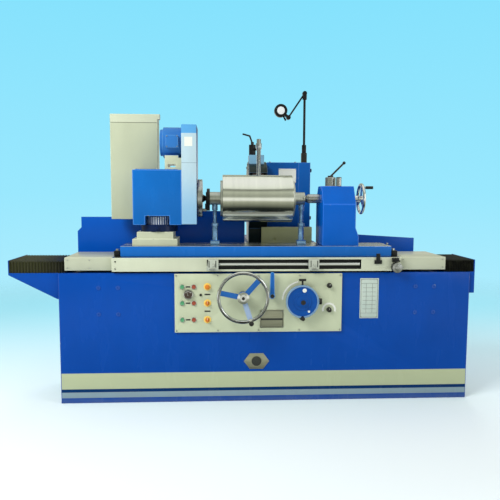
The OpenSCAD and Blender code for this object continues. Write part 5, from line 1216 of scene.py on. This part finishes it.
# Painted shade: the air slots are dark strips on the end bell.
cowl_slot = plate((-0.003, -0.045, -0.0035), (0.0004, 0.045, 0.0035))
round_edges(cowl_slot, 0.0012)
cowl_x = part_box("wheel_motor")[0].x
attach(copies(cowl_slot, [(cowl_x, wheel_motor_y, wheel_motor_z + 0.018 * row) for row in range(-3, 4)]),
       "wheel_motor_cowl_slots", oxide_and_shade_finish, "wheelhead")
dressed("wheel_motor_pulley", steel_finish, 0.0006)


# Grinding wheel: a vitrified wheel of brown corundum, clamped on its steel spindle between
# two flanges that are drawn together by bolts.
abrasive_finish = surface("abrasive_grain", (78, 66, 58), (140, 122, 108), (900, 4), None, 0.0006,
                          0.75, 0, 0.2, (30, 3), 0.3)
dressed("grinding_wheel", abrasive_finish, 0.0012)
dressed("wheel_spindle", faced_finish, 0.0008)


# Wheel guard: a cast half drum in dark green over the wheel, open towards the roll, with a
# pale blue filler cap on its top.
cap_z = 1.2675
wheel_y = -0.060
wheel_guard_x = -0.078
wheel_guard_r = 0.2
wheel_guard = dressed("wheel_guard", enamel("drum_enamel", colour(28, 42, 40), 0.3, flow=0.8), 0.0028,
                      worn_and_highlit("drum_edge", colour(54, 84, 110)), 3)
paint_faces(wheel_guard, enamel("cap_enamel", colour(120, 168, 196), 0.3, flow=0.4),
            lambda at, out: at.z > cap_z)
row_of(hexagon_bolt(0.006, 0.005), "guard_bolts",
       [(wheel_guard_x, wheel_y + wheel_guard_r * cos(radians(turn)),
         work_z + wheel_guard_r * sin(radians(turn)))
        for turn in (-18, 10, 38, 66, 94, 122)], "wheelhead", (-1, 0, 0))


# Coolant pipe and valve: bent steel tube, brushed bright, from the valve on the guard to a
# nozzle at the wheel's mouth, with a black lever on the valve.
pipe_finish = surface("brushed_pipe", (126, 134, 140), (206, 212, 214), (120, 4), (500,), 0.0002,
                      0.14, 1, 0.2)
valve_x, valve_y, valve_top = -0.052, -0.09, 1.366
valve_r = 0.0215
paint_faces(dressed("coolant_pipe", pipe_finish, 0.0005), oxide_and_shade_finish,
            lambda at, out: hypot(at.x - valve_x, at.y - valve_y) < valve_r and at.z < valve_top)
dressed("valve_lever", black_finish, 0.0006)


# Lamp: a post in a steel socket, an arm and a head of black tube, joined by pins. The head is
# a spun shell with a handle, round a pale lens.
lamp_black = enamel("lamp_enamel", colour(20, 20, 22), 0.32, 0.2, 0.4)
dressed("lamp_post", lamp_black, 0.0004)
dressed("lamp_arm", lamp_black, 0.0004)
dressed("lamp_head", lamp_black, 0.0008)
lens_finish = Finish("frosted_lens", 0.3, coat=0.3)
lens_ring = lens_finish.grain(420, 3)
lens_finish.paint(lens_ring, colour(206, 214, 216), colour(236, 240, 240))
lens_finish.bump(lens_ring, 0.0002)
lens_place = (0.116, -0.0941, 1.566)
mount(turned([(0, 0.0225), (0.0008, 0.0225), (0.0016, 0.018), (0.0020, 0.010), (0.0021, 0.003)], 40),
      lens_place, "lamp_lens", lens_finish, "lamp_head")
